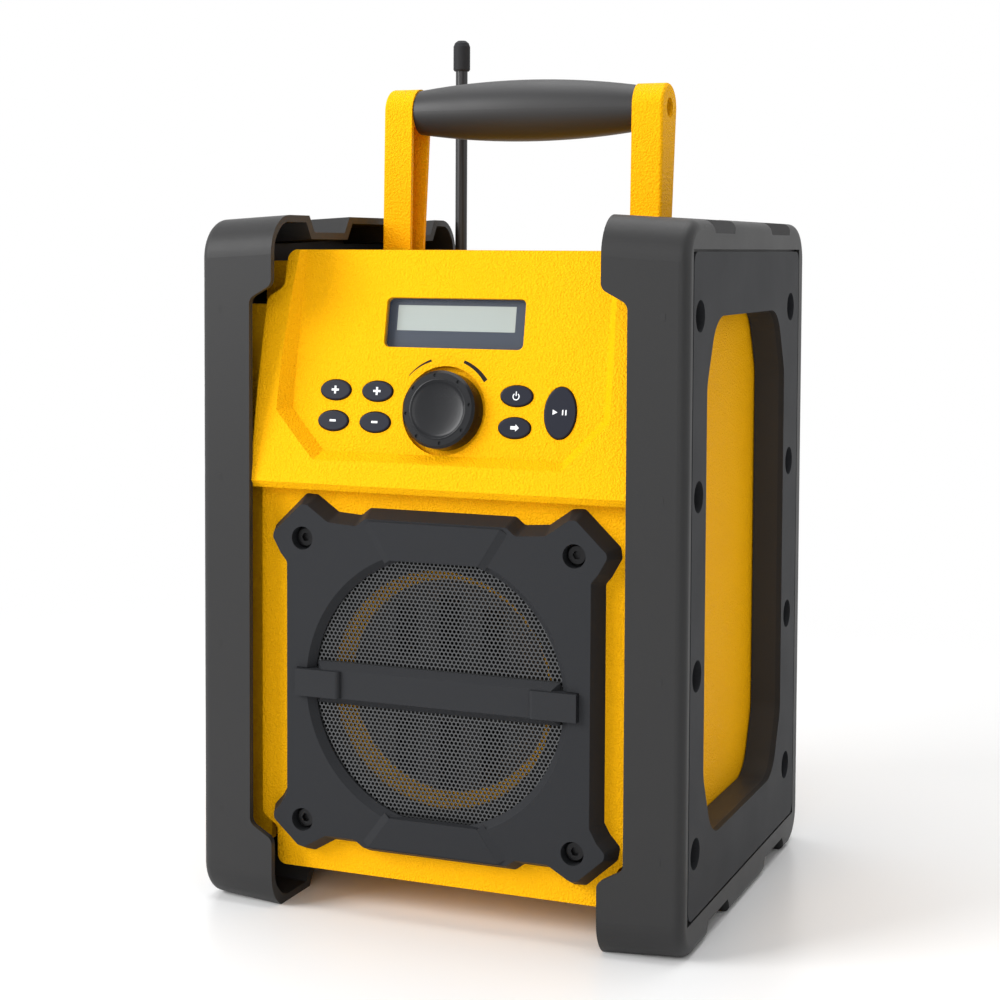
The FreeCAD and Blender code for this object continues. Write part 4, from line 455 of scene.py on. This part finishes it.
def ringY(shape, centre, near, far, inner, outer, steps=96):
    rings = []
    for y, radius in ((near, inner), (near, outer), (far, outer), (far, inner)):
        rings.append([shape.verts.new((centre.x + radius * math.cos(math.tau * step / steps), y,
                                       centre.z + radius * math.sin(math.tau * step / steps)))
                      for step in range(steps)])
    for one in range(4):
        two = (one + 1) % 4
        for step in range(steps):
            after = (step + 1) % steps
            shape.faces.new([rings[one][step], rings[one][after], rings[two][after], rings[two][step]])


faces, _ = makeGrille()
print("speaker grille with", faces, "faces")


# Black foam ring behind the mesh, against the face of the housing
foam = {"inner": 50.6, "outer": 59.2, "front": -86.7, "back": -85.55}


def makeFoam():
    low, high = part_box("speaker_mesh")
    middle = (low + high) / 2
    mesh = meshOf("meshFoam", lambda shape: ringY(
        shape, middle, foam["front"] * mm, foam["back"] * mm, foam["inner"] * mm, foam["outer"] * mm))
    newPiece("mesh_foam", mesh, plain("foamBlack", finishes["foamBlack"], 0.8), "case")


makeFoam()
# Flanges that close the view between the front housing and the side frames
flange = {"inner": 86.2, "outer": 99.4, "front": -77.0, "back": -72.9, "low": 24, "high": 262}


def slabBetween(shape, low, high):
    corners = [Vector((x, y, z)) * mm for z in (low[2], high[2]) for x, y in (
        (low[0], low[1]), (high[0], low[1]), (high[0], high[1]), (low[0], high[1]))]
    verts = [shape.verts.new(corner) for corner in corners]
    for face in ((0, 1, 2, 3), (4, 5, 6, 7), (0, 1, 5, 4), (1, 2, 6, 5), (2, 3, 7, 6), (3, 0, 4, 7)):
        shape.faces.new([verts[index] for index in face])


def makeFlanges():
    for side, name in ((-1, "left"), (1, "right")):
        ends = sorted((side * flange["inner"], side * flange["outer"]))
        mesh = meshOf(name + "Flange", lambda shape: slabBetween(
            shape, (ends[0], flange["front"], flange["low"]), (ends[1], flange["back"], flange["high"])))
        newPiece("housing_flange_" + name, mesh, materials["yellow_housing"], "case")


makeFlanges()
# Ramps beside the raised tabs of the speaker cover, as half width and height from the speaker's axis
ramps = {
    "tabs": [((20, 55.2), (30, 70.9)), ((20, -55.2), (30, -68.4))],
    "wide": 3.4, "face": -94.0, "top": -94.96, "below": -93.8, "axis": 100.5,
}


def rampOn(shape, side, start, end):
    along = (Vector((end[0] - start[0], 0, end[1] - start[1]))).normalized()
    away = Vector((along.z, 0, -along.x))
    if away.x < 0:
        away.negate()
    rows = []
    for half, rise in (start, end):
        foot = Vector((half, 0, ramps["axis"] + rise))
        out = foot + away * ramps["wide"]
        rows.append([(foot.x, ramps["below"], foot.z), (foot.x, ramps["top"], foot.z),
                     (out.x, ramps["face"], out.z), (out.x, ramps["below"], out.z)])
    verts = [[shape.verts.new(Vector((side * x, y, z)) * mm) for x, y, z in row] for row in rows]
    shape.faces.new(verts[0])
    shape.faces.new(verts[1][::-1])
    for index in range(4):
        after = (index + 1) % 4
        shape.faces.new([verts[0][index], verts[0][after], verts[1][after], verts[1][index]])


def makeRamps():
    mesh = meshOf("coverRamps", lambda shape: [
        rampOn(shape, side, *line) for line in ramps["tabs"] for side in (-1, 1)])
    newPiece("cover_ramps", mesh, materials[slotOf["speaker_cover"]], "case")


makeRamps()
# Shallow bowl in the knob's face, as radius and height above the panel
knob = {
    "v": 19, "steps": 72,
    "profile": [(0, 5.52), (0, 5.58), (3, 5.61), (6, 5.70), (8.5, 5.84), (10.5, 6.02), (11.6, 6.18),
                (12.0, 6.42), (12.25, 6.58), (12.5, 6.62), (12.9, 6.56), (13.0, 6.45), (12.55, 6.4),
                (12.55, 5.52)],
}


def spunOnPanel(shape, v, profile, steps):
    rings = []
    for radius, out in profile:
        if radius == 0:
            rings.append([shape.verts.new(onPanel(0, v, out))])
            continue
        rings.append([shape.verts.new(onPanel(
            radius * math.cos(math.tau * step / steps), v + radius * math.sin(math.tau * step / steps), out))
            for step in range(steps)])
    for first, second in zip(rings, rings[1:] + rings[:1]):
        if len(first) == 1 and len(second) == 1:
            continue
        for step in range(steps):
            after = (step + 1) % steps
            corners = [first[step % len(first)], first[after % len(first)],
                       second[after % len(second)], second[step % len(second)]]
            shape.faces.new(list(dict.fromkeys(corners)))


def makeKnobBowl():
    mesh = meshOf("knobBowl", lambda shape: spunOnPanel(shape, knob["v"], knob["profile"], knob["steps"]))
    for face in mesh.polygons:
        face.use_smooth = True
    newPiece("knob_bowl", mesh, materials["knob_black"], "volume")


makeKnobBowl()
print("foam, flanges, ramps and knob bowl")


# Studio: a pale floor, a white background and soft lamps
studio = {
    "floorShade": 0.90, "floorHalf": 20, "worldLight": 0.36, "fadeStart": 0.30, "fadeEnd": 0.75,
    "lamps": [
        # name, place in metres, aim, size, watts
        ("keyLamp", (-1.15, -1.05, 0.85), (0, 0, 0.16), 0.9, 27),
        ("frontLamp", (0.25, -1.9, 0.8), (0, 0, 0.10), 1.3, 12),
        ("sideLamp", (1.5, 0.1, 0.7), (0, 0, 0.16), 0.9, 3),
        ("topLamp", (0.0, 0.15, 1.5), (0, 0, 0.2), 1.3, 15),
    ],
}


# A ray from the camera, a mirror or glass sees the white backdrop
def backdropRays(tree):
    rays = tree.nodes.new("ShaderNodeLightPath")
    seen = rays.outputs["Is Camera Ray"]
    for name in ("Is Glossy Ray", "Is Transmission Ray"):
        node = tree.nodes.new("ShaderNodeMath")
        node.operation = "MAXIMUM"
        tree.links.new(seen, node.inputs[0])
        tree.links.new(rays.outputs[name], node.inputs[1])
        seen = node.outputs[0]
    return seen


def buildWorld():
    world = bpy.data.worlds.new("studioWorld")
    bpy.context.scene.world = world
    world.use_nodes = True
    tree = world.node_tree
    light = tree.nodes["Background"]
    light.inputs["Color"].default_value = (1, 1, 1, 1)
    light.inputs["Strength"].default_value = studio["worldLight"]
    white = tree.nodes.new("ShaderNodeBackground")
    white.inputs["Color"].default_value = (1, 1, 1, 1)
    mix = tree.nodes.new("ShaderNodeMixShader")
    tree.links.new(backdropRays(tree), mix.inputs[0])
    tree.links.new(light.outputs[0], mix.inputs[1])
    tree.links.new(white.outputs[0], mix.inputs[2])
    tree.links.new(mix.outputs[0], tree.nodes["World Output"].inputs["Surface"])


def buildFloor():
    shader = Shader("studioFloor")
    shader.set(baseColor=(studio["floorShade"],) * 3 + (1,), roughness=0.3, specular=0.3)
    tree = shader.tree
    away = shader.add("ShaderNodeVectorMath", {"operation": "LENGTH"}, {0: shader.place()}, "Value")
    fade = shader.add("ShaderNodeMapRange", {"interpolation_type": "SMOOTHSTEP"}, {
        "Value": away, "From Min": studio["fadeStart"], "From Max": studio["fadeEnd"]})
    fade = fade * Signal(shader, backdropRays(tree))
    white = shader.add("ShaderNodeEmission", None, {"Color": (1, 1, 1, 1), "Strength": 1.0}, "Emission")
    mixed = shader.add("ShaderNodeMixShader", None, {
        0: fade, 1: Signal(shader, shader.surface.outputs["BSDF"]), 2: white}, "Shader")
    tree.links.new(mixed.socket, tree.nodes["Material Output"].inputs["Surface"])
    half = studio["floorHalf"]
    mesh = bpy.data.meshes.new("studioFloor")
    corners = [(-half, -half, 0), (half, -half, 0), (half, half, 0), (-half, half, 0)]
    mesh.from_pydata(corners, [], [(0, 1, 2, 3)])
    mesh.materials.append(shader.material)
    floor = bpy.data.objects.new("studio_floor", mesh)
    bpy.context.scene.collection.objects.link(floor)


def buildStudio():
    bpy.context.scene.view_settings.view_transform = "Standard"
    buildWorld()
    buildFloor()
    for name, place, aim, size, watts in studio["lamps"]:
        lamp = bpy.data.lights.new(name, "AREA")
        lamp.size = size
        lamp.energy = watts
        holder = bpy.data.objects.new(name, lamp)
        holder.location = place
        holder.rotation_euler = (Vector(aim) - Vector(place)).to_track_quat("-Z", "Y").to_euler()
        bpy.context.scene.collection.objects.link(holder)


camera = {"place": (0.3313, -0.83827, 0.28708), "yaw": 22.092, "pitch": 2.971, "roll": 0.281,
          "lens": 70.73, "shift": -0.15}


def placeCamera():
    data = bpy.data.cameras.new("camera")
    data.lens = camera["lens"]
    data.sensor_width = 36
    data.shift_y = camera["shift"]
    data.clip_start = 0.01
    holder = bpy.data.objects.new("camera", data)
    turn = (Matrix.Rotation(math.radians(camera["yaw"]), 4, "Z")
            @ Matrix.Rotation(math.radians(90 - camera["pitch"]), 4, "X")
            @ Matrix.Rotation(math.radians(camera["roll"]), 4, "Z"))
    holder.matrix_world = Matrix.Translation(camera["place"]) @ turn
    bpy.context.scene.collection.objects.link(holder)
    bpy.context.scene.camera = holder


buildStudio()
placeCamera()
print("studio and camera")
